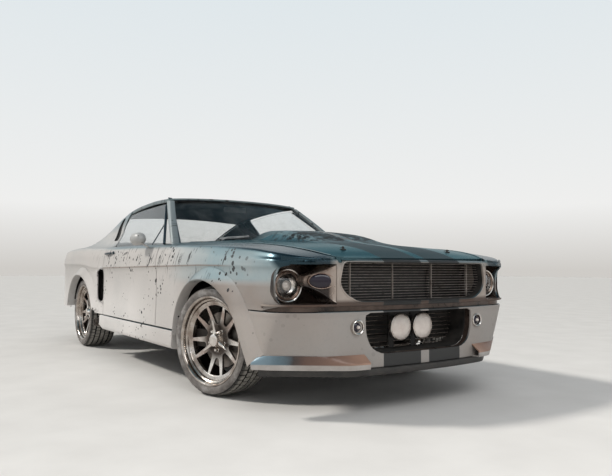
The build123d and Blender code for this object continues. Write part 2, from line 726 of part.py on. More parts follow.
def make_skirt():
    steps = [(ROCKER_Y + TOUCH, SKIRT_BOTTOM_Z), (892, SKIRT_BOTTOM_Z), (906, 254), (903, SKIRT_TOP_Z),
             (ROCKER_Y + TOUCH, SKIRT_TOP_Z)]
    return prism("x", -640, 985, steps)


def make_tail():
    """Tail panel, the dark bar below it and the rear valance."""
    face, back = TAIL_X - TOUCH, TAIL_X - TAIL_T
    panel = prism("x", back, face, [(-786, 560), (786, 560), (772, 860), (600, 885), (-600, 885), (-772, 860)])
    bar = block(back + 8, face, -780, 780, 500 + TOUCH, 560 - TOUCH)
    low = prism("x", back, face, [(-790, 360), (-560, 300), (560, 300), (790, 360), (788, 500), (-788, 500)])
    return panel, bar, low


def make_tail_lamps():
    face = TAIL_X - TAIL_T - TOUCH
    lamps = block(REAR_TIP, face, TAIL_LAMP_YS[0] - 34, TAIL_LAMP_YS[0] + 34, 690, 820)
    for y in TAIL_LAMP_YS[1:]:
        lamps += block(REAR_TIP, face, y - 34, y + 34, 690, 820)
    return lamps


def make_suspension():
    """Front crossmember, arms with ball pins, coil struts and the steering rack."""
    low, high = LOWER_JOINT_Z - 3, UPPER_JOINT_Z + 3
    frame = block(AXLE_X - 45, AXLE_X + 45, -470, 470, low - 26, 262)
    arms = block(AXLE_X - 26, AXLE_X + 26, 440, KINGPIN_Y, low - 26, low)
    arms += rod((AXLE_X, KINGPIN_Y, low - 26), (AXLE_X, KINGPIN_Y, low), 26)
    arms += rod((AXLE_X, KINGPIN_Y, low - 5), (AXLE_X, KINGPIN_Y, low + 35), KINGPIN_R)
    upper = block(AXLE_X - 26, AXLE_X + 26, APRON_Y + 16 + TOUCH, KINGPIN_Y, high, high + 24)
    upper += rod((AXLE_X, KINGPIN_Y, high), (AXLE_X, KINGPIN_Y, high + 24), 26)
    upper += rod((AXLE_X, KINGPIN_Y, high - 35), (AXLE_X, KINGPIN_Y, high + 5), KINGPIN_R)
    upper += rod((AXLE_X, 515, high + 20), (AXLE_X, 515, shelf_z(AXLE_X + 42) - 14 - 1), 36)
    rack = rod((AXLE_X + 66, -380, 232), (AXLE_X + 66, 380, 232), 21)
    return [frame + both(arms) + rack, upper, other_side(upper)]


def make_knuckle():
    """Upright, spindle, steering arm and brake caliper of the front left wheel, pointing straight ahead."""
    x, y = AXLE_X, KINGPIN_Y
    part = block(x - 24, x + 24, y - 14, y + 14, LOWER_JOINT_Z, UPPER_JOINT_Z)
    for z in (LOWER_JOINT_Z, UPPER_JOINT_Z - KNUCKLE_BOSS_H):
        part += rod((x, y, z), (x, y, z + KNUCKLE_BOSS_H), 22)
        part -= rod((x, y, z - 1), (x, y, z + KNUCKLE_BOSS_H + 1), KINGPIN_R + FIT)
    part += rod((x, y + 10, TYRE_R), (x, 720, TYRE_R), 42)
    part += rod((x, y + 20, TYRE_R), (x, 775, TYRE_R), SPINDLE_R)
    part += block(x - 150, x - 20, y - 12, y + 12, 238, 258)
    return part + make_caliper(x)


def make_caliper(x):
    """Two plates and a bridge that straddle the brake disc behind the axle."""
    part = block(x - 214, x - 172, 704, 768, TYRE_R - 52, TYRE_R + 52)
    part += block(x - 214, x - 112, 704, 722, TYRE_R - 52, TYRE_R + 52)
    part += block(x - 214, x - 112, 752, 768, TYRE_R - 52, TYRE_R + 52)
    return part + block(x - 130, x - 10, 704, 720, TYRE_R - 22, TYRE_R + 22)


def make_rim(x):
    """Deep rim with slim spokes, brake disc and knock-off spinner, bored for the spindle."""
    face = RIM_OUTER_Y - RIM_DISH
    lip_0, lip_1 = RIM_INNER_Y + RIM_LIP_T, RIM_OUTER_Y - RIM_LIP_T
    profile = [
        (RIM_INNER_Y, RIM_LIP_R), (lip_0, RIM_LIP_R), (lip_0, BEAD_R - TOUCH), (lip_1, BEAD_R - TOUCH),
        (lip_1, RIM_LIP_R), (RIM_OUTER_Y, RIM_LIP_R), (RIM_OUTER_Y, BEAD_R - 4),
        (face + 14, BEAD_R - RIM_WALL), (face + 8, 218), (face - 10, 218), (face - 14, BEAD_R - RIM_WALL),
        (RIM_INNER_Y, BEAD_R - RIM_WALL),
    ]
    wire = Wire([Line((0, *a), (0, *b)) for a, b in zip(profile, profile[1:] + profile[:1])])
    rim = Pos(x, 0, TYRE_R) * revolve(Face(wire), Axis.Y, 360)
    rim += rod((x, 728, TYRE_R), (x, face + 6, TYRE_R), HUB_R)
    rim += rod((x, 728, TYRE_R), (x, 728 + DISC_T, TYRE_R), DISC_R)
    for i in range(SPOKES):
        turn = Pos(x, 0, TYRE_R) * Rot(0, 360 / SPOKES * (i + 0.5), 0)
        rim += turn * block(-11, 11, face - 16, face + 4, HUB_R - 8, 224)
    rim += rod((x, face, TYRE_R), (x, face + 30, TYRE_R), 34)
    for i in range(3):
        rim += Pos(x, 0, TYRE_R) * Rot(0, 120 * i, 0) * block(-13, 13, face + 8, face + 22, 0, 82)
    return rim - rod((x, 700, TYRE_R), (x, 780, TYRE_R), SPINDLE_R + FIT)


def make_tyre(x):
    """Low tyre with rounded shoulders, seated on the rim between its lips."""
    y0, y1 = TRACK_Y - TYRE_W / 2, TRACK_Y + TYRE_W / 2
    bead_0, bead_1 = RIM_INNER_Y + RIM_LIP_T + TOUCH, RIM_OUTER_Y - RIM_LIP_T - TOUCH
    steps = [
        (bead_0, BEAD_R), (bead_0, RIM_LIP_R + TOUCH), (y0 + 3, RIM_LIP_R + 3),
        ((y0 - 1, 292), (y0 + 12, 311)), ((TRACK_Y, TYRE_R), (y1 - 12, 311)),
        ((y1 + 1, 292), (y1 - 3, RIM_LIP_R + 3)), (bead_1, RIM_LIP_R + TOUCH), (bead_1, BEAD_R),
    ]
    profile = outline("x", 0, steps)
    return Pos(x, 0, TYRE_R) * revolve(Face(profile), Axis.Y, 360)


def make_rear_axle():
    """Axle tube, differential, spindles and calipers, on two leaf springs."""
    x = -AXLE_X
    axle = rod((x, -700, TYRE_R), (x, 700, TYRE_R), 38)
    axle += Pos(x, 0, TYRE_R) * Sphere(128)
    axle += rod((x, 0, TYRE_R), (x + 170, 0, TYRE_R), 50)
    end = rod((x, 690, TYRE_R), (x, 775, TYRE_R), SPINDLE_R) + make_caliper(x)
    end += prism("y", 474, 526, [
        (-762, 310), ((-AXLE_X, TYRE_R - 72.5), (-2052, 322)), (-2052, 351.7), (-2026, 351.7),
        ((-AXLE_X, TYRE_R - 36.5), (-790, 337.7)), (-762, 337.7)])
    return axle + both(end)


def make_exhaust():
    """A pipe each side from the engine, along the floor and out through the rear of the skirt."""
    z, r = FLOOR_Z - 28 - TOUCH, 28
    run = pipe([
        (1100, 270 + r + TOUCH, 420), (1000, 300, 260), (900, 330, z), (-745, 330, z), (-792, 400, 262), (-792, 868, 270),
    ], r, 40)
    run += rod((-300, 330, z - 30), (200, 330, z - 30), 52)
    return run + rod((-792, 840, 270), (-792, 900, 270), 36) - rod((-792, 870, 270), (-792, 901, 270), 30)


def make_front_seats():
    cushion = block(-300, 180, 180, 650, FLOOR_Z + FLOOR_T + TOUCH, 440)
    back = prism("y", 180, 650, [(-290, 400), (-180, 400), (-300, 900), (-400, 900)])
    return cushion + back


def make_rear_seat():
    seat = block(-1010, -730, -545, 545, REAR_FLOOR_Z + 16 + TOUCH, 610)
    return seat + prism("y", -545, 545, [(-1010, 500), (-930, 500), (-1010, 850), (-1080, 850)])


def make_dashboard():
    steps = [(FIREWALL_X - TOUCH, 720), (520, 720), (495, 760), ((500, 880), (570, 894)), (FIREWALL_X - TOUCH, 894)]
    return prism("y", -690, 690, steps)


def toward(start, end, distance):
    start, end = Vector(*start), Vector(*end)
    return tuple(start + (end - start).normalized() * distance)


def make_column():
    shaft_end = toward(COLUMN_FOOT, WHEEL_HUB, 214)
    return rod(toward(COLUMN_FOOT, WHEEL_HUB, 1), toward(COLUMN_FOOT, WHEEL_HUB, 180), 22) + rod(
        toward(COLUMN_FOOT, WHEEL_HUB, 170), shaft_end, 8)


def make_hand_wheel():
    """Steering wheel with three spokes, bored for the column shaft."""
    start = toward(COLUMN_FOOT, WHEEL_HUB, 186)
    plane = Plane(origin=start, z_dir=Vector(*WHEEL_HUB) - Vector(*COLUMN_FOOT), x_dir=(0, 1, 0))
    wheel = Pos(0, 0, 44) * Torus(HAND_WHEEL_R, 14) + Pos(0, 0, 18) * Cylinder(34, 36)
    for angle in (0, 180, 270):
        wheel += Rot(0, 0, angle) * (Pos(HAND_WHEEL_R / 2 + 8, 0, 32) * Box(HAND_WHEEL_R - 20, 26, 5))
    return plane * (wheel - Pos(0, 0, 14) * Cylinder(8 + FIT, 30))


def steered(shape, side):
    """Turns a front wheel piece about its kingpin to where it stands."""
    return Pos(AXLE_X, side * KINGPIN_Y, 0) * Rot(0, 0, STEER_REST) * Pos(-AXLE_X, -side * KINGPIN_Y, 0) * shape


roof, cowl, door, hood = make_roof(), make_cowl(), make_door(), make_hood()
dashboard, trunk_lid = make_dashboard(), make_trunk_lid()
save_sides("fender", make_fender())
save_sides("quarter_panel", make_quarter())
save("roof", roof)
save("cowl", cowl)
save("windshield", make_windshield(roof, cowl))
save("backlight", make_backlight())
save("deck_panel", make_deck_panel())
save("nose", make_nose())
save("valance", make_valance())
save("bumper_bar", make_bumper_bar())
save("splitter", make_splitter())
save("upper_grille", make_upper_grille())
save("lower_grille", make_lower_grille())
save_pair("headlamps", make_headlamp())
save_pair("pod_lamps", make_pod_lamp())
save_pair("turn_lamps", make_turn_lamp())
save_pair("driving_lamps", make_driving_lamp())
save("floor_pan", make_floor_pan(hood, trunk_lid))
save_pair("side_skirts", make_skirt())
tail_panel, rear_bar, rear_valance = make_tail()
save("tail_panel", tail_panel)
save("rear_valance", rear_bar, rear_valance)
save_pair("tail_lamps", make_tail_lamps())
save_pair("hinge_posts", make_hinge_posts())
save_pair("front_seats", make_front_seats())
save("rear_seat", make_rear_seat())
save("dashboard", dashboard)
save("steering_column", main_solid(make_column() - dashboard))
save("steering_wheel", make_hand_wheel())
save("engine", block(1020, 1640, -270, 270, 262 + TOUCH, 830))
save("radiator", block(NOSE_X - 66, NOSE_X - 20 - TOUCH, -340, 340, 340, 770))
save("driveline", block(420, 1020 - TOUCH, -100, 100, 268, 395) + rod((-AXLE_X + 171, 0, TYRE_R), (422, 0, TYRE_R), 36))
save("front_suspension", *make_suspension())
save("rear_axle", make_rear_axle())
save_pair("exhaust", make_exhaust())
save("fuel_tank", block(-2230, -1800, -400, 400, 300, REAR_FLOOR_Z - TOUCH))
save_sides("door", door)
save_sides("door_glass", make_door_glass(door))
save_sides("mirror", make_mirror(door))
save("hood", hood)
save("trunk_lid", trunk_lid)
for side_name, side in (("left", 1), ("right", -1)):
    for name, piece in (("knuckle", make_knuckle()), ("rim_front", make_rim(AXLE_X)), ("tyre_front", make_tyre(AXLE_X))):
        save(f"{name}_{side_name}", steered(piece if side > 0 else other_side(piece), side))
save_sides("rim_rear", make_rim(-AXLE_X))
save_sides("tyre_rear", make_tyre(-AXLE_X))
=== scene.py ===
import math

import bmesh
import bpy
from mathutils import Matrix, Vector


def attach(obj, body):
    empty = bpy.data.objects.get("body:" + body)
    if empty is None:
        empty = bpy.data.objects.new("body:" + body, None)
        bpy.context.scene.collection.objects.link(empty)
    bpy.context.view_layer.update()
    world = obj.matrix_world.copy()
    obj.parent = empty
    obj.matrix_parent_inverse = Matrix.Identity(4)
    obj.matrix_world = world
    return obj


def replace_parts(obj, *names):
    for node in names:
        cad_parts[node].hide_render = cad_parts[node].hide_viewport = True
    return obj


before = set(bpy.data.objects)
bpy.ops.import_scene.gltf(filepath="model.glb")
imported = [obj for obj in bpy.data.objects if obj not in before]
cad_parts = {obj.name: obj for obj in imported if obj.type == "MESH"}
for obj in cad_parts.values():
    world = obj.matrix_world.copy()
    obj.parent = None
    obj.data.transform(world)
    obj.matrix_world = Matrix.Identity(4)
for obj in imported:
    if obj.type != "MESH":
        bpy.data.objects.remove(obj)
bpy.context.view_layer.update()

# The place the car stands in: a pale floor under a plain pale sky, one soft sun from behind the right side
# and a broad soft light over the front. The camera stands low, ahead of the right front wheel.
MM = 0.001
EYE = (4.673, -2.391, 0.739)
LOOK_YAW = math.radians(145.63)
LOOK_PITCH = math.radians(2.97)
LOOK_ROLL = math.radians(0.24)
SENSOR_W = 36.0
LENS = 35.68
SUN_POWER = 2.3
FRONT_LIGHT_POWER = 130
FLOOR_REACH = 60


def aim(place, yaw, pitch, roll):
    """The matrix of a camera or lamp at a place, looking along yaw and pitch."""
    ahead = Vector((math.cos(pitch) * math.cos(yaw), math.cos(pitch) * math.sin(yaw), math.sin(pitch)))
    right = Vector((math.sin(yaw), -math.cos(yaw), 0))
    up = right.cross(ahead)
    side = right * math.cos(roll) + up * math.sin(roll)
    top = up * math.cos(roll) - right * math.sin(roll)
    turned = Matrix((side, top, -ahead)).transposed().to_4x4()
    return Matrix.Translation(place) @ turned


def link(thing):
    bpy.context.scene.collection.objects.link(thing)
    return thing


camera = link(bpy.data.objects.new("camera", bpy.data.cameras.new("camera")))
camera.data.sensor_width = SENSOR_W
camera.data.lens = LENS
camera.data.clip_start = 0.05
camera.data.clip_end = 200
camera.matrix_world = aim(EYE, LOOK_YAW, LOOK_PITCH, LOOK_ROLL)
bpy.context.scene.camera = camera
bpy.context.scene.view_settings.view_transform = "Standard"


def node(tree, kind, inputs=None, **settings):
    """A shader node with its settings, and with values or links on its inputs."""
    made = tree.nodes.new(kind)
    for key, value in settings.items():
        setattr(made, key, value)
    for key, value in (inputs or {}).items():
        if isinstance(value, bpy.types.NodeSocket):
            tree.links.new(value, made.inputs[key])
        else:
            made.inputs[key].default_value = value
    return made


def sum_of(tree, kind, *values):
    return node(tree, "ShaderNodeMath", dict(enumerate(values)), operation=kind).outputs[0]


def ramp(tree, value, stops):
    """A colour ramp with (place, colour) stops, read by a value."""
    made = node(tree, "ShaderNodeValToRGB", {0: value})
    while len(made.color_ramp.elements) < len(stops):
        made.color_ramp.elements.new(0.5)
    for element, (at, colour) in zip(made.color_ramp.elements, stops):
        element.position = at
        element.color = colour if len(colour) == 4 else (*colour, 1)
    return made.outputs[0]


def make_world():
    """A pale horizon that darkens to soft blue overhead. Gloss and glass show it as the camera does."""
    world = bpy.data.worlds.new("sky")
    world.use_nodes = True
    tree = world.node_tree
    tree.nodes.clear()
    place = node(tree, "ShaderNodeTexCoord").outputs["Generated"]
    height = node(tree, "ShaderNodeSeparateXYZ", {0: place}).outputs[2]
    shown = ramp(tree, height, [
        (0.0, (0.62, 0.60, 0.57)), (0.10, (0.86, 0.86, 0.85)), (0.42, (0.74, 0.80, 0.83)),
        (0.62, (0.20, 0.31, 0.37)), (1.0, (0.10, 0.18, 0.23)),
    ])
    seen = node(tree, "ShaderNodeBackground", {"Color": shown, "Strength": 1.0})
    lit = node(tree, "ShaderNodeBackground", {"Color": (0.90, 0.92, 0.94, 1), "Strength": 0.50})
    path = node(tree, "ShaderNodeLightPath")
    rays = sum_of(tree, "MAXIMUM", path.outputs["Is Camera Ray"], path.outputs["Is Glossy Ray"])
    rays = sum_of(tree, "MAXIMUM", rays, path.outputs["Is Transmission Ray"])
    mixed = node(tree, "ShaderNodeMixShader", {0: rays, 1: lit.outputs[0], 2: seen.outputs[0]})
    out = node(tree, "ShaderNodeOutputWorld")
    tree.links.new(mixed.outputs[0], out.inputs[0])
    bpy.context.scene.world = world


def make_lamps():
    sun = link(bpy.data.objects.new("sun", bpy.data.lights.new("sun", "SUN")))
    sun.data.energy = SUN_POWER
    sun.data.angle = math.radians(7)
    sun.data.color = (1.0, 0.96, 0.90)
    sun.matrix_world = aim((-3, -5, 6), math.radians(52), math.radians(-42), 0)
    front = link(bpy.data.objects.new("front_light", bpy.data.lights.new("front_light", "AREA")))
    front.data.shape = "RECTANGLE"
    front.data.size = 5.0
    front.data.size_y = 2.5
    front.data.energy = FRONT_LIGHT_POWER
    front.matrix_world = aim((6.0, -1.5, 4.6), math.radians(168), math.radians(-44), 0)


def make_floor():
    mesh = bpy.data.meshes.new("floor")
    corners = [(x * FLOOR_REACH, y * FLOOR_REACH, 0) for x, y in ((-1, -1), (1, -1), (1, 1), (-1, 1))]
    mesh.from_pydata(corners, [], [(0, 1, 2, 3)])
    floor = link(bpy.data.objects.new("floor", mesh))
    chalk = bpy.data.materials.new("pale_ground")
    chalk.use_nodes = True
    tree = chalk.node_tree
    shader = tree.nodes["Principled BSDF"]
    shader.inputs["Roughness"].default_value = 0.9
    place = node(tree, "ShaderNodeTexCoord").outputs["Object"]
    drifts = node(tree, "ShaderNodeTexNoise", {"Vector": place, "Scale": 3.0, "Detail": 8.0})
    tint = ramp(tree, drifts.outputs["Fac"], [(0, (0.60, 0.59, 0.57)), (1, (0.74, 0.73, 0.71))])
    tree.links.new(tint, shader.inputs["Base Color"])
    mesh.materials.append(chalk)


make_world()
make_lamps()
make_floor()

# The body's own lines: every panel is pressed to the same long curves, so that they meet along the shut
# lines. The sides are steel, crowned from sill to belt, with one sharp crease at mid height.
AXLE_X = 1371.5
TYRE_R = 320.5
SILL_Z = 353.0
GAP = 9.0
NOSE_X = 2050.0
NOSE_TIP_X = 2318.0
NOSE_BULGE = (2180.0, 815.0)
NOSE_CORNER = (2252.0, 660.0)
HOOD_REAR_X = 780.0
DOOR_FRONT_X = 655.0
DOOR_REAR_X = -565.0
TAIL_X = -2322.0


def limited(value, low=0, high=1):
    return min(max(value, low), high)


def along(points):
    """A smooth line through (place, value) pairs, with no overshoot between them."""
    points = sorted(points)
    xs = [p[0] for p in points]
    vs = [p[1] for p in points]
    steps = [b - a for a, b in zip(xs, xs[1:])]
    slopes = [(b - a) / s for a, b, s in zip(vs, vs[1:], steps)]
    ends = [slopes[0]] + [0.0] * (len(xs) - 2) + [slopes[-1]]
    for i in range(1, len(xs) - 1):
        if slopes[i - 1] * slopes[i] > 0:
            w1 = 2 * steps[i] + steps[i - 1]
            w2 = steps[i] + 2 * steps[i - 1]
            ends[i] = (w1 + w2) / (w1 / slopes[i - 1] + w2 / slopes[i])

    def value(x):
        x = limited(x, xs[0], xs[-1])
        i = max(k for k in range(len(xs) - 1) if xs[k] <= x)
        t = (x - xs[i]) / steps[i]
        rise = vs[i] * (1 + 2 * t) * (1 - t) ** 2 + vs[i + 1] * t * t * (3 - 2 * t)
        return rise + steps[i] * (ends[i] * t * (1 - t) ** 2 + ends[i + 1] * t * t * (t - 1))

    return value


side_y = along([
    (-2350, 800), (-2200, 846), (-1900, 884), (-AXLE_X, 898), (-700, 900), (0, 900),
    (700, 898), (AXLE_X, 893), (1800, 886), (2050, 868), (2200, 842), (2350, 800),
])
crease_z = along([
    (-2350, 785), (-AXLE_X, 778), (-700, 744), (0, 750), (600, 757), (AXLE_X, 762), (2150, 752),
])
belt_z = along([
    (-2350, 900), (-2200, 918), (-1800, 940), (-1400, 946), (-1000, 936), (-500, 924), (0, 919),
    (700, 907), (1200, 893), (1600, 876), (1900, 855), (2100, 828), (2250, 798),
])
belt_in = along([(-2350, 60), (-1400, 95), (-600, 88), (700, 82), (1600, 78), (2200, 70)])
hood_y = along([(600, 700), (1200, 694), (1700, 678), (2000, 652), (2150, 618), (2300, 545)])
hood_z = along([
    (600, 952), (780, 956), (1000, 948), (1400, 926), (1800, 898), (2000, 876), (2150, 846), (2300, 797),
])
rail_y = along([(-2350, 612), (-1790, 616), (-1400, 608), (-950, 602), (-500, 604), (110, 592)])
rail_z = along([
    (-2350, 912), (-1950, 960), (-1790, 984), (-1500, 1058), (-1200, 1146), (-950, 1212), (-700, 1258),
    (-400, 1284), (-100, 1296), (110, 1294),
])
roof_z = along([
    (-2350, 928), (-1950, 976), (-1790, 1002), (-1500, 1080), (-1200, 1172), (-950, 1238), (-700, 1286),
    (-400, 1314), (-150, 1324), (110, 1318), (190, 1310),
])


def mix(a, b, t):
    return tuple(p + (q - p) * t for p, q in zip(a, b))


def flow(points, counts):
    """A smooth run through a few points, cut into counts[i] steps between neighbours."""
    size = [max(math.dist(a, b), 1e-6) for a, b in zip(points, points[1:])]
    rates = [tuple((q - p) / size[0] for p, q in zip(points[0], points[1]))]
    for i in range(1, len(points) - 1):
        before, after = size[i - 1], size[i]
        rates.append(tuple(
            ((q - p) / before * after + (r - q) / after * before) / (before + after)
            for p, q, r in zip(points[i - 1], points[i], points[i + 1])))
    rates.append(tuple((q - p) / size[-1] for p, q in zip(points[-2], points[-1])))
    run = []
    for i, count in enumerate(counts):
        for k in range(count):
            t = k / count
            h = ((1 + 2 * t) * (1 - t) ** 2, t * t * (3 - 2 * t), t * (1 - t) ** 2, t * t * (t - 1))
            run.append(tuple(
                p * h[0] + q * h[1] + size[i] * (m * h[2] + n * h[3])
                for p, q, m, n in zip(points[i], points[i + 1], rates[i], rates[i + 1])))
    return run + [tuple(points[-1])]


def arc(start, via, end, count):
    """Points on the circle through three points of a plane, without the last."""
    (ax, ay), (bx, by), (cx, cy) = start, via, end
    d = 2 * (ax * (by - cy) + bx * (cy - ay) + cx * (ay - by))
    a2, b2, c2 = ax * ax + ay * ay, bx * bx + by * by, cx * cx + cy * cy
    ux = (a2 * (by - cy) + b2 * (cy - ay) + c2 * (ay - by)) / d
    uy = (a2 * (cx - bx) + b2 * (ax - cx) + c2 * (bx - ax)) / d
    r = math.dist(start, (ux, uy))
    turns = [math.atan2(y - uy, x - ux) for x, y in (start, via, end)]
    for i in (1, 2):
        while turns[i] - turns[i - 1] > math.pi:
            turns[i] -= 2 * math.pi
        while turns[i] - turns[i - 1] < -math.pi:
            turns[i] += 2 * math.pi
    steps = [turns[0] + (turns[2] - turns[0]) * k / count for k in range(count)]
    return [(ux + r * math.cos(t), uy + r * math.sin(t)) for t in steps]


CORNER_STEPS = 24


def plan_point(grow):
    """Where the bowed front lies from the left side to the middle, grown outward by a distance."""
    side = (NOSE_X, side_y(NOSE_X) + grow)
    bulge = (NOSE_BULGE[0] + grow * 0.7, NOSE_BULGE[1] + grow * 0.7)
    corner = (NOSE_CORNER[0] + grow, NOSE_CORNER[1] + grow * 0.9)
    line = arc(side, bulge, corner, CORNER_STEPS)
    return line + arc(corner, (NOSE_TIP_X + grow, 0), (corner[0], -corner[1]), 40)[:21]


def front_at(grow):
    """The x of the bowed front for a y, from the same line."""
    return along([(y, x) for x, y in plan_point(grow)])


front_x = front_at(0)
front_y = along([(x, y) for x, y in plan_point(0)[:CORNER_STEPS + 1]])


def body_y(x):
    """Half the body's width, rounded in at the front corner."""
    return side_y(x) if x <= NOSE_X else min(side_y(x), front_y(min(x, NOSE_CORNER[0] - 1)))


def side_run(x):
    """The section of the side from sill to belt, with a crease that isn't smoothed over."""
    y, crease, belt = body_y(x), crease_z(x), belt_z(x)
    high = crease + 0.62 * (belt - crease)
    inset = belt_in(x)
    low = flow([
        (y - 8, SILL_Z), (y - 12, 470), (y - 13, 600), (y - 11, 690), (y - 6, crease - 14), (y, crease),
    ], [5, 5, 5, 4, 3])
    shoulder = 17
    turn = (y - shoulder - 0.27 * (inset - shoulder), high + 0.72 * (belt - high))
    top = flow([
        (y, crease), (y - 5, crease + 34), (y - shoulder, high), turn, (y - inset, belt),
    ], [4, 5, 7, 7])
    return low[:-1] + top


def hood_edge(x):
    """The top edge of the fender beside the hood."""
    return (hood_y(x) + GAP / 2, belt_z(x) + 0.35 * (hood_z(x) - belt_z(x)))


# The paint is a blue-grey metallic that years of desert dust have bleached pale along the flanks.
# Oil and mud have dried in specks and runs, soot lies on the hood's bulge, and two broad dark stripes run
# along the car.
# Painted light is laid into these colours too: sky reflections in teal and blue on the tops and high on the
# front, ground reflections in brown low on the front, on the nose and on the blades, and paler bounce light
# low on the sides.
DUST = (0.50, 0.475, 0.455, 1)
# A pale dust that is painted bounce light from the ground, low on the doors and quarters.
PALE_DUST_BOUNCE_LIGHT = (0.66, 0.635, 0.615, 1)
# A blue that is a painted sky reflection high on the front, and the colour of the ash on the hood.
BLUE_DUST_AND_SKY_REFLECTION = (0.20, 0.30, 0.335, 1)
# Two browns for a painted ground reflection low on the front; the lighter one is also the dust on the blades.
GROUND_REFLECTION_BROWN = (0.235, 0.20, 0.178, 1)
CLAY_DUST_AND_GROUND_REFLECTION = (0.315, 0.28, 0.255, 1)
# The nose's warm brown-grey: dust tinted as a painted reflection of brown rock.
NOSE_ROCK_REFLECTION = (0.41, 0.345, 0.30, 1)
LOW_CORNER_BROWN = (0.085, 0.052, 0.038, 1)
# A deep teal that is a painted reflection of the sky.
SKY_REFLECTION_TEAL = (0.010, 0.030, 0.042, 1)
# A brown for the painted shade line along the side crease.
CREASE_SHADE_BROWN = (0.22, 0.17, 0.14, 1)
PAINT = (0.050, 0.110, 0.130, 1)
PAINT_LIGHT = (0.110, 0.180, 0.205, 1)
STRIPE = (0.016, 0.018, 0.019, 1)
OIL = (0.012, 0.012, 0.013, 1)
STRIPE_IN = 0.030
STRIPE_OUT = 0.285
STRIPE_EDGE = 0.001


def new_finish(name, colour=(0.5, 0.5, 0.5, 1), rough=0.5, metal=0.0, coat=0.0):
    material = bpy.data.materials.new(name)
    material.use_nodes = True
    shader = material.node_tree.nodes["Principled BSDF"]
    shader.inputs["Base Color"].default_value = (*colour[:3], 1)
    shader.inputs["Roughness"].default_value = rough
    shader.inputs["Metallic"].default_value = metal
    shader.inputs["Coat Weight"].default_value = coat
    return material, material.node_tree, shader


def blend_colour(tree, amount, a, b):
    made = node(tree, "ShaderNodeMix", data_type="RGBA")
    for key, value in ((0, amount), (6, a), (7, b)):
        if isinstance(value, bpy.types.NodeSocket):
            tree.links.new(value, made.inputs[key])
        else:
            made.inputs[key].default_value = value
    return made.outputs[2]


def span(tree, value, low, high, start=0.0, end=1.0):
    """A value brought from low..high to start..end, and held there outside."""
    made = node(tree, "ShaderNodeMapRange", {0: value, 1: low, 2: high, 3: start, 4: end})
    return made.outputs[0]


def grit(tree, place, scale, detail=5.0, rough=0.55, stretch=None):
    if stretch:
        place = node(tree, "ShaderNodeMapping", {"Vector": place, "Scale": stretch}).outputs[0]
    made = node(tree, "ShaderNodeTexNoise",
                {"Vector": place, "Scale": scale, "Detail": detail, "Roughness": rough})
    return made.outputs["Fac"]


def bump(tree, shader, height, strength, distance):
    made = node(tree, "ShaderNodeBump", {"Height": height, "Strength": strength, "Distance": distance})
    tree.links.new(made.outputs[0], shader.inputs["Normal"])


def product(tree, *values):
    """Several amounts multiplied together."""
    result = values[0]
    for value in values[1:]:
        result = sum_of(tree, "MULTIPLY", result, value)
    return result


def most(tree, *values):
    """The largest of several amounts."""
    result = values[0]
    for value in values[1:]:
        result = sum_of(tree, "MAXIMUM", result, value)
    return result


def place_on(tree):
    """The surface's own place, in metres."""
    return node(tree, "ShaderNodeTexCoord").outputs["Object"]


def split(tree, vector):
    """The x, y and z of a place or of a direction."""
    return node(tree, "ShaderNodeSeparateXYZ", {0: vector}).outputs


def facing(tree):
    """The x, y and z of the way the surface faces."""
    return split(tree, node(tree, "ShaderNodeTexCoord").outputs["Normal"])


def feed(tree, shader, **values):
    """Links what is worked out to the shader: colour, rough, metal."""
    sockets = {"colour": "Base Color", "rough": "Roughness", "metal": "Metallic"}
    for key, value in values.items():
        tree.links.new(value, shader.inputs[sockets[key]])


def dust_and_painted_reflections(tree, x, z, cloud):
    """Dust, with painted light in it: palest low on the doors and quarters as painted bounce light, blue high
    on the front as a painted sky reflection, brown low on the front as a painted ground reflection.
    """
    # Painted bounce light: paler low on the doors and quarters.
    low = product(tree, span(tree, x, 0.75, 0.15), span(tree, z, 0.72, 0.45))
    colour = blend_colour(tree, low, DUST, PALE_DUST_BOUNCE_LIGHT)
    # A painted sky reflection: blue high on the front.
    blue = product(tree, span(tree, x, 0.85, 1.5), span(tree, z, 0.645, 0.685))
    blue = product(tree, blue, span(tree, cloud, 0.35, 0.6, 0.45, 0.9))
    colour = blend_colour(tree, blue, colour, BLUE_DUST_AND_SKY_REFLECTION)
    # A painted ground reflection: brown low on the front, darker lowest down.
    brown = product(tree, span(tree, x, 0.95, 1.6), span(tree, z, 0.69, 0.65))
    brown = product(tree, brown, span(tree, cloud, 0.3, 0.6, 0.7, 1.0))
    ground_reflection = blend_colour(tree, span(tree, z, 0.49, 0.56), CLAY_DUST_AND_GROUND_REFLECTION, GROUND_REFLECTION_BROWN)
    return blend_colour(tree, brown, colour, ground_reflection)


def reflection_toned_dust(tree, tone, z, off, cloud):
    """Dust in the tone given, a painted reflection of brown rock, in two shades, and darker brown low down at
    the outer corners.
    """
    shade = tuple(0.6 * c for c in tone[:3]) + (1,)
    dust = blend_colour(tree, span(tree, cloud, 0.42, 0.62), tone, shade)
    low_corner_dark = product(tree, span(tree, z, 0.592, 0.574), span(tree, off, 0.87, 0.80))
    return blend_colour(tree, low_corner_dark, dust, LOW_CORNER_BROWN)


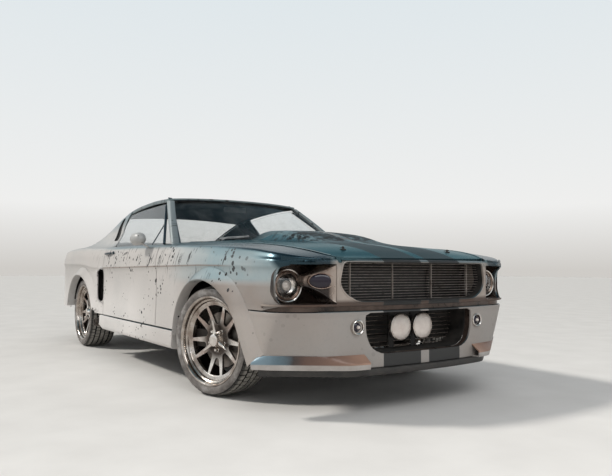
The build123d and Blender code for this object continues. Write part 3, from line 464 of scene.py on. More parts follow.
def dried_marks(tree, place, x, z):
    """Specks of tar in clusters, and runs that lean back from the belt line."""
    specks = node(tree, "ShaderNodeTexVoronoi", {"Vector": place, "Scale": 26.0}, feature="F1")
    size = span(tree, grit(tree, place, 4.2, 3.0), 0.45, 0.66, 0.0, 0.36)
    spots = sum_of(tree, "LESS_THAN", specks.outputs["Distance"], size)
    leaned = sum_of(tree, "MULTIPLY_ADD", z, -0.35, x)
    slope = node(tree, "ShaderNodeCombineXYZ", {0: leaned, 1: 0.0, 2: z}).outputs[0]
    runs = grit(tree, slope, 8.0, 5.0, 0.62, stretch=(4.6, 1.0, 0.85))
    runs = product(tree, span(tree, runs, 0.575, 0.60), span(tree, z, 0.62, 0.80, 0.0, 1.0))
    runs = product(tree, runs, span(tree, grit(tree, place, 3.1, 3.0), 0.44, 0.52))
    behind_doors = span(tree, x, -0.80, -0.50, 0.12, 1.0)
    ahead_of_wheel = span(tree, x, 1.75, 2.05, 1.0, 0.12)
    return product(tree, most(tree, runs, spots), behind_doors, ahead_of_wheel)


def paint_and_sky_reflection(tree, x, z, off, up, cloud):
    """The metallic under the dust, and a painted reflection of the sky in deep teal at the lamps and on top
    of the fenders.
    """
    colour = blend_colour(tree, span(tree, cloud, 0.35, 0.65), PAINT, PAINT_LIGHT)
    # A painted sky reflection: deep teal on the fenders' front corners and on their tops.
    slant = sum_of(tree, "MULTIPLY_ADD", z, 0.887, x)
    ahead = product(tree, span(tree, slant, 2.79, 2.83), span(tree, z, 0.712, 0.735))
    ahead = product(tree, ahead, span(tree, off, 0.56, 0.60))
    top = product(tree, span(tree, up, 0.45, 0.75), span(tree, x, 1.50, 1.85), span(tree, off, 0.62, 0.66))
    ahead = most(tree, ahead, top)
    return blend_colour(tree, ahead, colour, SKY_REFLECTION_TEAL), ahead


def settled_dust(tree, x, z, up, cloud, fine):
    """How thick the dust lies: most on the flanks, less near the belt and on level panels. Faces turned up
    and the tops of the front fenders keep little dust, so that they show dark as a painted reflection of the
    sky.
    """
    # Dust thins higher up toward the front, leaving a painted sky reflection on the fenders' tops.
    level = sum_of(tree, "ADD", z, span(tree, x, 0.9, 2.1, 0.0, 0.17))
    level = sum_of(tree, "SUBTRACT", level, span(tree, x, -0.30, -0.70, 0.0, 0.16))
    flank = span(tree, level, 0.90, 1.02, 1.0, 0.25)
    # Less dust on faces turned up: a painted sky reflection on level panels.
    flat = span(tree, up, 0.3, 0.72, 1.0, span(tree, x, -0.7, -0.2, 0.75, 0.12))
    drift = span(tree, cloud, 0.3, 0.7, 0.86, 1.08)
    return product(tree, flank, flat, drift, span(tree, fine, 0.25, 0.5, 0.90, 1.0))


def painted_crease_shade(tree, x, z, off):
    """A thin brown line of painted shade along the crease of the doors and fenders."""
    crease = span(tree, x, -0.7, 1.37, 0.744, 0.762)
    crease = sum_of(tree, "ADD", crease, span(tree, x, 1.37, 2.15, 0.0, -0.010))
    line = sum_of(tree, "ABSOLUTE", sum_of(tree, "SUBTRACT", z, crease))
    line = product(tree, span(tree, line, 0.002, 0.007, 0.75, 0.0), span(tree, x, -0.60, -0.54))
    return product(tree, line, span(tree, x, 1.6, 1.8, 1.0, 0.0), span(tree, off, 0.86, 0.87))


def hood_soot_and_sky_reflection(tree, place, x, off, colour, marks):
    """A painted sky reflection that darkens the hood toward teal, pale ash over the bulge of the hood, and
    sooty flecks along the middle of it.
    """
    # A painted sky reflection: the whole hood darkened toward teal.
    colour = blend_colour(tree, 0.35, colour, SKY_REFLECTION_TEAL)
    ash = product(tree, span(tree, x, 0.9, 1.30), span(tree, x, 1.62, 1.84, 1.0, 0.0))
    ash = product(tree, ash, span(tree, off, 0.26, 0.40, 1.0, 0.0))
    colour = blend_colour(tree, product(tree, ash, 0.55), colour, BLUE_DUST_AND_SKY_REFLECTION)
    fall = product(tree, span(tree, x, 1.05, 1.45), span(tree, x, 1.52, 1.88, 1.0, 0.0))
    fall = product(tree, fall, span(tree, off, 0.14, 0.44, 1.0, 0.0))
    flecks = sum_of(tree, "ADD", grit(tree, place, 20.0, 7.0, 0.8), span(tree, fall, 0.0, 0.7, -0.14, 0.03))
    flecks = product(tree, span(tree, fall, 0.0, 0.1), span(tree, flecks, 0.46, 0.51))
    return colour, most(tree, marks, flecks)


def body_paint(name, stripes=False, soot_and_sky_reflection=False, veil=0.0, wear=1.0, tone=None, band=STRIPE):
    """The car's paint under its dust, with stripes of the band's colour, and soot with a painted sky
    reflection where a panel has them.

    Veil is dust all over, wear is how much of the settled dust stays, and tone is dust of another colour,
    tinted as a painted reflection.
    """
    material, tree, shader = new_finish(name, rough=0.4)
    shader.inputs["Specular IOR Level"].default_value = 0.35
    place = place_on(tree)
    x, y, z = split(tree, place)
    up = facing(tree)[2]
    off = sum_of(tree, "ABSOLUTE", y)
    cloud = grit(tree, place, 1.7, 6.0, 0.6)
    fine = grit(tree, place, 55.0, 4.0, 0.7)
    colour, ahead = paint_and_sky_reflection(tree, x, z, off, up, cloud)
    dusty = product(tree, settled_dust(tree, x, z, up, cloud, fine), wear)
    # No dust where the sky reflection is painted.
    dusty = product(tree, dusty, span(tree, ahead, 0.0, 1.0, 1.0, 0.08))
    dusty = most(tree, dusty, veil)
    dust = reflection_toned_dust(tree, tone, z, off, cloud) if tone else dust_and_painted_reflections(tree, x, z, cloud)
    inside = 0.0
    if stripes:
        inner = span(tree, off, STRIPE_IN - STRIPE_EDGE, STRIPE_IN + STRIPE_EDGE)
        outer = span(tree, off, STRIPE_OUT - STRIPE_EDGE, STRIPE_OUT + STRIPE_EDGE, 1.0, 0.0)
        inside = product(tree, inner, outer)
        colour = blend_colour(tree, inside, colour, band)
        dusty = product(tree, dusty, span(tree, inside, 0.0, 1.0, 1.0, 0.06))
    dusty = node(tree, "ShaderNodeClamp", {0: dusty}).outputs[0]
    colour = blend_colour(tree, dusty, colour, dust)
    # A painted shade line along the crease.
    colour = blend_colour(tree, painted_crease_shade(tree, x, z, off), colour, CREASE_SHADE_BROWN)
    marks = dried_marks(tree, place, x, z)
    if soot_and_sky_reflection:
        # On the hood the gloss is tinted teal as a painted sky reflection.
        shader.inputs["Specular IOR Level"].default_value = 0.12
        shader.inputs["Specular Tint"].default_value = (0.22, 0.42, 0.46, 1)
        colour, marks = hood_soot_and_sky_reflection(tree, place, x, off, colour, marks)
    colour = blend_colour(tree, marks, colour, OIL)
    covered = most(tree, dusty, inside)
    bare = sum_of(tree, "SUBTRACT", 1.0, most(tree, covered, marks))
    rough = sum_of(tree, "ADD", covered, product(tree, fine, 0.15))
    feed(tree, shader, colour=colour, metal=product(tree, bare, 0.75),
         rough=span(tree, rough, 0.0, 1.1, 0.24, 0.55))
    bump(tree, shader, fine, 0.03, 0.002)
    return material


def mottled(name, colours, scale, rough, metal=0.0, coat=0.0, relief=0.0, depth=0.001):
    """A finish whose colour and gloss wander between the given ones, with a little relief."""
    material, tree, shader = new_finish(name, colours[0], rough[0], metal, coat)
    place = place_on(tree)
    cloud = grit(tree, place, scale, 6.0, 0.62)
    stops = [(0.32 + 0.36 * i / max(len(colours) - 1, 1), c) for i, c in enumerate(colours)]
    feed(tree, shader, colour=ramp(tree, cloud, stops), rough=span(tree, cloud, 0.3, 0.7, *rough))
    if relief:
        bump(tree, shader, grit(tree, place, scale * 4, 4.0, 0.6), relief, depth)
    return material


paint = body_paint("dusty_paint")
striped_paint = body_paint("striped_paint", stripes=True)
# The hood's stripes are teal-black rather than black: a painted sky reflection.
hood_paint = body_paint("hood_paint", stripes=True, soot_and_sky_reflection=True, wear=0.06, band=(0.030, 0.046, 0.050, 1))
# The nose's dust is tinted as a painted reflection of brown rock.
nose_paint = body_paint("nose_paint", stripes=True, tone=NOSE_ROCK_REFLECTION)
chalky_paint = body_paint("chalky_paint", veil=0.72)
pillar_paint = body_paint("pillar_paint", veil=0.42)
dark_trim = mottled(
    "dark_trim", [(0.010, 0.010, 0.010), (0.045, 0.040, 0.036)], 16.0, (0.35, 0.65), relief=0.1)

# The front fenders: pressed steel, bolted on, open to the hood along their inner edge.
# Each one ends in a blade that wraps the outside of the headlamp.
ARCH_R = 354.0
CLEAR = 60
NEAR_CUT = 0.4
BROW_TOP = 766
BROW_LOW = 764


def arch_line(axle_x):
    """The wheel opening from the rear of the sill, over the top, to the front."""
    a = math.radians(38)
    left, top = (axle_x - ARCH_R, TYRE_R), (axle_x, TYRE_R + ARCH_R)
    via = (axle_x - ARCH_R * math.cos(a), TYRE_R + ARCH_R * math.sin(a))
    front, low = (axle_x + 443, 500), (axle_x + 612, 250)
    line = [(axle_x - ARCH_R, 100), (axle_x - ARCH_R, 230)] + arc(left, via, top, 22)
    line += arc(top, (axle_x + 230, 634), front, 24)
    return line + [mix(front, low, t / 8) for t in range(8)] + [low, (axle_x + 720, 100)]


def outside_of(line):
    """Below zero inside a closed outline of the side view, by the distance to it."""
    pairs = list(zip(line, line[1:] + line[:1]))

    def cut(point):
        x, z = point[0], point[2]
        near, inside = 1e9, False
        for (ax, az), (bx, bz) in pairs:
            dx, dz = bx - ax, bz - az
            t = limited(((x - ax) * dx + (z - az) * dz) / (dx * dx + dz * dz + 1e-9))
            near = min(near, math.hypot(x - ax - dx * t, z - az - dz * t))
            if (az > z) != (bz > z) and x < ax + (z - az) / (bz - az) * dx:
                inside = not inside
        return -near if inside else near

    return cut


class Net:
    """Points of a pressed panel, welded where they are shared."""

    def __init__(self, place):
        self.place = place
        self.points = []
        self.index = {}
        self.known = {}

    def at(self, spot):
        if spot not in self.known:
            self.known[spot] = self.place(*spot)
        return self.known[spot]

    def number(self, spot):
        if spot not in self.index:
            self.index[spot] = len(self.points)
            self.points.append(self.at(spot))
        return self.index[spot]


def trim(net, cell, cut, crossings):
    """A cell without the part where the cut is below zero. Points near the cut stay where they are.

    A cut says how far a point is from the line it follows, or CLEAR where it cuts nothing.
    """
    kept = []
    values = [cut(net.at(spot)) for spot in cell]
    for i, spot in enumerate(cell):
        after, value, other = cell[(i + 1) % len(cell)], values[i], values[(i + 1) % len(cell)]
        if value >= 0:
            kept.append(spot)
        if value * other < 0 and min(abs(value), abs(other)) > NEAR_CUT:
            key = (min(spot, after), max(spot, after))
            if key not in crossings:
                a, b = key
                fa, fb = cut(net.at(a)), cut(net.at(b))
                for _ in range(3):
                    t = fa / (fa - fb)
                    spot_c = (round(a[0] + (b[0] - a[0]) * t, 5), round(a[1] + (b[1] - a[1]) * t, 5))
                    fc = cut(net.at(spot_c))
                    if fc * fa > 0:
                        a, fa = spot_c, fc
                    elif fc * fb > 0:
                        b, fb = spot_c, fc
                    else:
                        break
                crossings[key] = spot_c
            kept.append(crossings[key])
        elif value * other < 0 and value < 0 and abs(value) <= NEAR_CUT:
            kept.append(spot)
        elif value * other < 0 and other < 0 and abs(other) <= NEAR_CUT:
            kept.append(after)
    clean = [s for i, s in enumerate(kept) if s != kept[i - 1]]
    return clean if len(clean) > 2 else []


def new_mesh(name, points, faces, out=None):
    mesh = bpy.data.meshes.new(name)
    mesh.from_pydata([(x * MM, y * MM, z * MM) for x, y, z in points], [], faces)
    mesh.validate()
    mesh.update()
    if out and sum(p.area * p.normal.dot(Vector(out)) for p in mesh.polygons) < 0:
        mesh.flip_normals()
    return mesh


def panel_mesh(name, columns, rows, place, cuts=(), out=(0, 1, 0)):
    """A net of points on a surface, trimmed along its cut lines, that faces outward."""
    net = Net(place)
    cells = []
    for a, b in zip(columns, columns[1:]):
        for c, d in zip(rows, rows[1:]):
            cells.append([(a, c), (b, c), (b, d), (a, d)])
    for cut in cuts:
        crossings = {}
        cells = [kept for kept in (trim(net, cell, cut, crossings) for cell in cells) if kept]
    faces = [[net.number(spot) for spot in cell] for cell in cells]
    return new_mesh(name, net.points, faces, out)


def mirrored(mesh, name):
    """The same mesh on the other side of the car."""
    copy = mesh.copy()
    copy.name = name
    copy.transform(Matrix.Scale(-1, 4, (0, 1, 0)))
    copy.flip_normals()
    return copy


def settle(thing):
    """Turns what a thing's modifiers make into its mesh."""
    bpy.context.view_layer.update()
    shaped = thing.evaluated_get(bpy.context.evaluated_depsgraph_get())
    thing.data = bpy.data.meshes.new_from_object(shaped)
    thing.modifiers.clear()


def finish_off(thing, material, crisp):
    """Smooth shading that stays crisp at edges over an angle, and the material."""
    thing.data.shade_smooth()
    thing.data.set_sharp_from_angle(angle=math.radians(crisp))
    thing.data.materials.clear()
    thing.data.materials.append(material)


def piece(mesh, material, body="body", gauge=0.0, edge=0.0, crisp=34):
    """A finished object: gauge is the sheet's thickness and edge the radius of its trimmed edges, in mm."""
    thing = link(bpy.data.objects.new(mesh.name.split(".")[0], mesh))
    if gauge:
        thick = thing.modifiers.new("gauge", "SOLIDIFY")
        thick.thickness = gauge * MM
        thick.offset = -1
        thick.use_even_offset = False
    if edge:
        round_off = thing.modifiers.new("edge", "BEVEL")
        round_off.width = edge * MM
        round_off.segments = 2
        round_off.limit_method = "ANGLE"
        round_off.angle_limit = math.radians(50)
    if gauge or edge:
        settle(thing)
        thing.data.name = mesh.name
    finish_off(thing, material, crisp)
    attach(thing, body)
    return thing


def joined(name, meshes):
    """Several meshes as one."""
    net = bmesh.new()
    for mesh in meshes:
        net.from_mesh(mesh)
    result = bpy.data.meshes.new(name)
    net.to_mesh(result)
    net.free()
    return result


def pair(mesh):
    """A left-hand mesh joined with its right-hand twin."""
    return joined(mesh.name, [mesh, mirrored(mesh, mesh.name)])


def both_sides(name, mesh):
    """A left-hand mesh and its right-hand twin, each with the side that it is for."""
    return ("left", mesh), ("right", mirrored(mesh, f"{name}_right"))


def steps(start, end, size):
    """Evenly spaced places from start to end, no further apart than size."""
    count = max(1, math.ceil(abs(end - start) / size))
    return [start + (end - start) * k / count for k in range(count + 1)]


def surface_along_x(section):
    """A place(x, row) for a surface given by its section at each x."""
    known = {}

    def place(x, row):
        if x not in known:
            known[x] = section(x)
        run = known[x]
        i = min(int(row), len(run) - 2)
        y, z = mix(run[i], run[i + 1], row - i)
        return (x, y, z)

    return place


def fender_run(x):
    edge = hood_edge(x)
    belt = side_run(x)
    top = flow([belt[-1], mix(belt[-1], edge, 0.5), edge], [3, 3])
    hem = [(edge[0], edge[1] - 10), (edge[0], edge[1] - 34)]
    return belt + top[1:] + hem


def fender_height(x, y):
    """How high the top of the fender lies at a place, inward of its belt line."""
    top = fender_run(x)[len(side_run(x)) - 8:-2]
    for (ay, az), (by, bz) in zip(top, top[1:]):
        if ay >= y >= by:
            return az + (bz - az) * (ay - y) / max(ay - by, 1e-6)
    return top[0][1] if y > top[0][0] else top[-1][1]


def rows_of(run):
    """The numbers of a section's points."""
    return list(range(len(run)))


lamp_edge_x = along([
    (550, 2196), (575, 2152), (620, 2128), (680, 2128), (735, 2150), (757, 2188), (767, 2275),
])


def make_fenders():
    def lamp_room(p):
        return lamp_edge_x(p[2]) - p[0] if p[1] > 690 or p[2] < BROW_TOP else 10

    def front_end(p):
        return front_x(p[1]) - 2 + 5 * limited((p[1] - 780) / 40) - p[0]

    def chin_line(p):
        return p[2] - 533 - 23 * limited((p[0] - 2040) / 110) if p[0] > AXLE_X + 200 else CLEAR

    cuts = [outside_of(arch_line(AXLE_X)), lamp_room, front_end, chin_line]
    columns = steps(DOOR_FRONT_X + GAP, 2262, 13)
    rows = rows_of(fender_run(1000))
    left = panel_mesh("fender_skin_left", columns, rows, surface_along_x(fender_run), cuts)
    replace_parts(piece(left, paint, gauge=9), "fender_left")
    right = mirrored(left, "fender_skin_right")
    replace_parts(piece(right, paint, gauge=9), "fender_right")


make_fenders()


def make_brows():
    """The turned-down front edge of each fender, over the headlamp's pocket."""
    points = []
    for y in steps(640, 824, 8):
        x = front_x(y) - 4
        top = max(fender_height(min(x, 2250), y) - 2, BROW_TOP)
        points += [(x, y, top), (x, y, (top + BROW_LOW) / 2), (x, y, BROW_LOW)]
    faces = []
    for i in range(len(points) // 3 - 1):
        for a in (3 * i, 3 * i + 1):
            faces.append((a, a + 1, a + 4, a + 3))
    mesh = new_mesh("fender_brow", points, faces, (1, 0, 0))
    piece(pair(mesh), paint, gauge=7)


make_brows()

# The wheel flares: moulded brows, bonded over the panels' edges, that widen toward the front.
# In front they end on the valance, whose corners tuck in toward its lower edge.
CORNER_AIM = (0.795, 0.607)
CORNER_POINT = (2205.0, 785.0)
CORNER_LEAN = 70 / 289
CORNER_REACH = -120


def tucked(more, round_off=16):
    """Draws points in to the slanted corner of the valance, with a soft turn."""
    def shift(point):
        x, y, z = point
        ax, ay = CORNER_AIM
        out = ax * (x - CORNER_POINT[0]) + ay * (abs(y) - CORNER_POINT[1]) + CORNER_LEAN * (530 - z) + more
        if out < CORNER_REACH:
            return point
        move = (out + math.sqrt(out * out + round_off * round_off)) / 2
        return (x - ax * move, y - math.copysign(ay * move, y), z)
    return shift


def brow_line(axle_x):
    left, top = (axle_x - 372, TYRE_R), (axle_x - 30, 722)
    front, low = (axle_x + 530, 551), (axle_x + 720, 330)
    line = [(axle_x - 372, 100), (axle_x - 372, 230)] + arc(left, (axle_x - 262, 590), top, 22)
    line += arc(top, (axle_x + 270, 730), front, 24)
    return line + [mix(front, low, t / 8) for t in range(8)] + [low, (axle_x + 850, 100)]


def make_flare(name, axle_x, lowest, end_x):
    inner, outer = arch_line(axle_x), brow_line(axle_x)
    shape = [(-0.02, -46), (0.0, 4), (0.03, 15), (0.10, 20), (0.4, 17), (0.75, 9), (0.93, 3), (1.0, 0.6)]
    base = side_y(axle_x)
    points, faces = [], []
    for a, b in zip(inner, outer):
        for t, proud in shape:
            x, z = mix(a, b, t)
            skin = body_y(limited(x, TAIL_X, 2200))
            fall = skin - 13 if z > 480 else skin - 11
            if z > 680:
                fall = skin - 13 + 8 * min((z - 680) / 50, 1)
            y = fall + proud + (base - fall) * (1 - max(t, 0))
            points.append(tucked(-6)((x, y, z)) if x > 1900 and z < 520 else (x, y, z))
    wide = len(shape)
    for i in range(len(inner) - 1):
        for k in range(wide - 1):
            a = i * wide + k
            corners = [a, a + 1, a + wide + 1, a + wide]
            if min(points[c][2] for c in corners) >= lowest and max(points[c][0] for c in corners) <= end_x:
                faces.append(corners)
    return new_mesh(name, points, faces, (0, 1, 0))


def make_flares():
    ends = (("front", AXLE_X, 240, 2112), ("rear", -AXLE_X, SILL_Z, DOOR_REAR_X - 60))
    for end, axle_x, lowest, end_x in ends:
        mesh = make_flare(f"flare_{end}_left", axle_x, lowest, end_x)
        for _, shape in both_sides(f"flare_{end}", mesh):
            piece(shape, paint, gauge=5, crisp=50)


make_flares()

# The doors: a pressed steel skin, hemmed round the edge of a steel shell and hung on two hinges in front.
# The glass has no frame. It slides into a slot at the top, beside a lip that is rolled in.


def door_run(x):
    belt = side_run(x)
    y, z = belt[-1]
    return belt + [(y - 4, z - 1), (y - 8, z - 6), (y - 9, z - 30)]


def make_doors():
    columns = steps(DOOR_REAR_X, DOOR_FRONT_X, 13)
    mesh = panel_mesh("door_skin_left", columns, rows_of(door_run(0)), surface_along_x(door_run))
    for side, shape in both_sides("door_skin", mesh):
        skin = piece(shape, paint, body=f"door_{side}", gauge=10)
        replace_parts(skin, f"door_{side}")


make_doors()

# The quarter panels: one pressing each from the door to the tail, that sweeps up into the fastback's sail.
# A slot behind the side glass and a scoop ahead of the wheel let air through.
SLOT = [(-645, 984), (-832, 1202), (-940, 1202), (-768, 984)]
SCOOP_MOUTH = [
    (-580, 482), (-578, 706), (-598, 748), (-636, 744), (-662, 698), (-660, 532), (-636, 462), (-604, 444),
]
SCOOP_PROUD = 36
SCOOP_FRONT = -590.0
SCOOP_BACK = -930.0
GLASS_ROOM = [(600, 915), (90, 1330), (-723, 1330), (-723, 1216), (-583, 934), (-560, 934), (-560, 915)]


def rounded(corners, radius, count=6):
    """A closed outline with each of its corners rounded."""
    line = []
    for i, corner in enumerate(corners):
        before, after = corners[i - 1], corners[(i + 1) % len(corners)]
        reach = min(radius, 0.45 * math.dist(corner, before), 0.45 * math.dist(corner, after))
        a = mix(corner, before, reach / math.dist(corner, before))
        b = mix(corner, after, reach / math.dist(corner, after))
        for k in range(count + 1):
            t = k / count
            line.append(mix(mix(a, corner, t), mix(corner, b, t), t))
    return line


def sail_run(x):
    """The section of the quarter: the side, then a soft hollow up to the roof's rail."""
    side = side_run(x)
    belt, rail = side[-1], (rail_y(x), rail_z(x))
    rise = rail[1] - belt[1]
    hollow = limited(rise / 260)
    lower = (belt[0] - 0.34 * (belt[0] - rail[0]) - 6 * hollow, belt[1] + rise * 0.24)
    upper = (belt[0] - 0.68 * (belt[0] - rail[0]) + 2 * hollow, belt[1] + rise * 0.62)
    sail = flow([side[-3], belt, lower, upper, rail], [1, 6, 8, 8])
    return side + sail[2:] + [(rail[0] - 7, rail[1] + 2), (rail[0] - 9, rail[1] - 20)]


def scoop_swell(x, z):
    """How far the air scoop ahead of the rear wheel stands out of the quarter."""
    if not SCOOP_BACK < x <= SCOOP_FRONT:
        return 0.0
    t = (SCOOP_FRONT - x) / (SCOOP_FRONT - SCOOP_BACK)
    low, high = 436 + 60 * t, 760 - 56 * t
    if not low < z < high:
        return 0.0
    edge = min(min(z - low, high - z) / 34, 1)
    return SCOOP_PROUD * (1 - t * t * (3 - 2 * t)) * edge * edge * (3 - 2 * edge)


def quarter_place(x, row):
    x, y, z = sail_surface(x, row)
    return (x, y + (scoop_swell(x, z) if row < 26 else 0), z)


sail_surface = surface_along_x(sail_run)


def height_on(run, z):
    """How far out a section lies at a height."""
    for (ay, az), (by, bz) in zip(run, run[1:]):
        if az <= z <= bz:
            return ay + (by - ay) * (z - az) / max(bz - az, 1e-6)
    return run[-1][0]


def volume_of(mesh):
    total = 0.0
    for face in mesh.polygons:
        corners = [mesh.vertices[v].co for v in face.vertices]
        for a, b in zip(corners[1:], corners[2:]):
            total += corners[0].dot(a.cross(b))
    return total


def outward(mesh):
    """A closed mesh with its faces turned outward."""
    if volume_of(mesh) < 0:
        mesh.flip_normals()
    return mesh


def loft(name, rings, closed=True, caps=(True, True)):
    """A skin through rings of the same number of points, with a face over either end."""
    size = len(rings[0])
    points = [p for ring in rings for p in ring]
    faces = []
    for i in range(len(rings) - 1):
        for k in range(size if closed else size - 1):
            a, b = i * size + k, i * size + (k + 1) % size
            faces.append((a, b, b + size, a + size))
    if caps[0]:
        faces.append(tuple(reversed(range(size))))
    if caps[1]:
        faces.append(tuple(range((len(rings) - 1) * size, len(rings) * size)))
    return outward(new_mesh(name, points, faces))


def recess(name, line, run_at, swell, shift, deep):
    """A hollow behind an opening of the side, that runs back by shift and inward by deep; the caller finishes
    it dark as painted shade.
    """
    rings = []
    for t, sunk in ((0, 2), (0.1, 6), (0.5, deep * 0.8), (1, deep)):
        rings.append([(x + shift * t, height_on(run_at(x), z) + swell(x, z) - sunk, z) for x, z in line])
    return loft(name, rings, caps=(False, True))


def at_heights(cut, low=0, high=2000):
    """A cut that is made only between two heights."""
    return lambda p: cut(p) if low < p[2] < high else CLEAR


def no_swell(x, z):
    return 0.0


def make_quarters():
    cuts = [
        outside_of(arch_line(-AXLE_X)),
        at_heights(outside_of(GLASS_ROOM), low=900),
        at_heights(outside_of(rounded(SLOT, 26)), low=950),
        at_heights(outside_of(rounded(SCOOP_MOUTH, 22)), high=800),
    ]
    columns = steps(DOOR_REAR_X - GAP, -960, 11) + steps(-960, TAIL_X, 15)[1:]
    mesh = panel_mesh("quarter_left", columns, rows_of(sail_run(-1200)), quarter_place, cuts)
    for side, shape in both_sides("quarter", mesh):
        skin = piece(shape, paint, gauge=8)
        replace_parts(skin, f"quarter_panel_{side}")
    # The hollows get the dark trim finish: painted shade inside the slot and the scoop.
    hollows = [
        recess("quarter_slot", rounded(SLOT, 24), sail_run, no_swell, -12, 30),
        recess("scoop_duct", rounded(SCOOP_MOUTH, 20), side_run, scoop_swell, -90, 44),
    ]
    for mesh in hollows:
        hollow = piece(pair(mesh), dark_trim)
        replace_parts(hollow, "quarter_panel_left", "quarter_panel_right")


make_quarters()

# The roof: one steel skin, crowned across, with gutters along its sides and a bowed front edge over the
# windshield. It is welded to the pillars in front and runs down into the fastback behind.
ROOF_REAR_X = -950.0


def across(y, low, high, count, drop=0.0):
    """A crowned line from side to side, with its ends turned down."""
    bow = arc((-y, low), (0, high), (y, low), count) + [(y, low)]
    if not drop:
        return bow
    return [(-y + 1, low - drop), (-y - 1, low - 7)] + bow + [(y + 1, low - 7), (y - 1, low - drop)]


def roof_run(x):
    return across(rail_y(x), rail_z(x), roof_z(x), 56, 26)


def behind(line):
    """A cut that keeps what lies behind a line across the car."""
    return lambda p: line(p[1]) - p[0]


def make_roof():
    header = along([(-700, 95), (-560, 129), (-300, 171), (0, 190), (300, 171), (560, 129), (700, 95)])
    columns = steps(ROOF_REAR_X, 192, 22)
    rows = rows_of(roof_run(0))
    mesh = panel_mesh("roof_skin", columns, rows, surface_along_x(roof_run), [behind(header)], (0, 0, 1))
    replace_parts(piece(mesh, paint, gauge=12), "roof")


make_roof()

# The windshield pillars: folded steel, rounded on the outside, from the cowl to the roof's front corners.
# They bow forward a little and taper toward the top, where they are welded under the roof.
PILLAR_FOOT_Z = 914
PILLAR_RISE = 362


def make_pillars():
    foot = rounded([(590, 706), (650, 712), (648, 763), (600, 768)], 20, 5)
    head = rounded([(92, 556), (166, 560), (160, 596), (92, 602)], 14, 5)
    rings = []
    for k in range(13):
        t = k / 12
        bow = 10 * math.sin(math.pi * t)
        plan = [mix(a, b, t) for a, b in zip(foot, head)]
        rings.append([(x, y + bow * 0.4, PILLAR_FOOT_Z + PILLAR_RISE * t + bow) for x, y in plan])
    for _, shape in both_sides("pillar", loft("pillar_left", rings)):
        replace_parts(piece(shape, pillar_paint), "roof")


make_pillars()

# The hood: a crowned steel panel, hemmed along its sides, with a raised bulge down its middle. It is hinged
# at the cowl and held down by a pin at each front corner.
bulge_rise = along([
    (690, 10), (780, 16), (900, 38), (1020, 58), (1150, 69), (1300, 68), (1450, 56), (1560, 38), (1680, 14),
    (1800, 3), (1900, 0), (2300, 0),
])
bulge_y = along([(690, 196), (780, 208), (1000, 262), (1250, 294), (1600, 280), (1900, 262), (2300, 240)])


def hood_run(x):
    half, edge = hood_y(x) - GAP / 2, hood_edge(x)[1]
    run = []
    for y, z in across(half, edge, hood_z(x), 96):
        wide = bulge_y(x)
        t = limited((wide + 24 - abs(y)) / 52)
        lip = 4 * limited((abs(y) - half + 26) / 26) ** 2
        run.append((y, z + lip + bulge_rise(x) * t * t * (3 - 2 * t) * (1 - 0.10 * (abs(y) / wide) ** 2)))
    return [(-half + 2, edge - 26), (-half, edge - 6)] + run + [(half, edge - 6), (half - 2, edge - 26)]


def strip(name, path, wide, thick, across_axis=(0, 1, 0), soft=0.35):
    """A rounded strip along a path: wide along one axis and thick square to it."""
    a, b = wide / 2, thick / 2
    section = rounded([(-a, -b), (a, -b), (a, b), (-a, b)], soft * min(wide, thick), 2)
    rings = []
    for i, point in enumerate(path):
        ahead = Vector(path[min(i + 1, len(path) - 1)]) - Vector(path[max(i - 1, 0)])
        ahead.normalize()
        side = Vector(across_axis) - ahead * ahead.dot(Vector(across_axis))
        side.normalize()
        up = ahead.cross(side)
        rings.append([tuple(Vector(point) + side * a + up * b) for a, b in section])
    return loft(name, rings)


def make_hood():
    columns = steps(HOOD_REAR_X, 2292, 16)
    rows = rows_of(hood_run(1000))
    cuts = [behind(front_at(-24 - GAP))]
    mesh = panel_mesh("hood_skin", columns, rows, surface_along_x(hood_run), cuts, (0, 0, 1))
    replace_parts(piece(mesh, hood_paint, body="hood", gauge=14), "hood")
    # A pale strip along the hood's side edges: a painted highlight on the hem.
    hem = [(x, hood_y(x) - GAP / 2 - 6, hood_edge(x)[1] + 3.5) for x in steps(900, 2230, 40)]
    piece(pair(strip("hood_edge_highlight", hem, 7, 3)), chalky_paint, "hood")


make_hood()

# The nose: a moulded surround for the grille, with a deep pocket each side for the headlamp and a fin-edged
# pod that carries the small inner lamp. The grille is a row of bronze slats on four posts.
MOUTH_Y = 518.0
MOUTH_TOP = 779.0
MOUTH_LOW = 575.0
SLATS = 14
SLAT_PITCH = 14.57
HEADLAMP = (2110.0, 748.0, 658.0)
POD_LAMP = (2222.0, 622.0, 682.0)
POCKET = [(560, 567), (830, 567), (846, 620), (845, 720), (826, 766), (560, 766)]


def plan_line(grow, back):
    """The bowed front and its corners seen from above, with straight sides back to a place."""
    side = side_y(NOSE_X) + grow
    half = [(x, side) for x in steps(back, NOSE_X, 30)[:-1]] + plan_point(grow)[:-1]
    middle = (NOSE_TIP_X + grow, 0.0)
    return half + [middle] + [(x, -y) for x, y in reversed(half)]


def wrap(name, profile, back, cuts=(), draw_in=None):
    """A skin that runs round the front of the car with a profile of (proud, height)."""
    lines = {grow: plan_line(grow, back) for grow in sorted({p[0] for p in profile})}
    count = len(lines[profile[0][0]])

    def place(s, row):
        i, k = min(int(row), len(profile) - 2), min(int(s), count - 2)
        ends = []
        for grow, z in (profile[i], profile[i + 1]):
            x, y = mix(lines[grow][k], lines[grow][k + 1], s - k)
            ends.append(draw_in((x, y, z)) if draw_in else (x, y, z))
        return mix(*ends, row - i)

    return panel_mesh(name, list(range(count)), rows_of(profile), place, cuts, (1, 0, 0))


def hole_in_front(line):
    """Below zero inside an outline of the front view."""
    test = outside_of(line)
    return lambda p: test((p[1], 0, p[2]))


def both_halves(half):
    """A closed outline from its left half, which runs from the middle of the top down to the bottom's."""
    return half + [(-y, z) for y, z in reversed(half)]


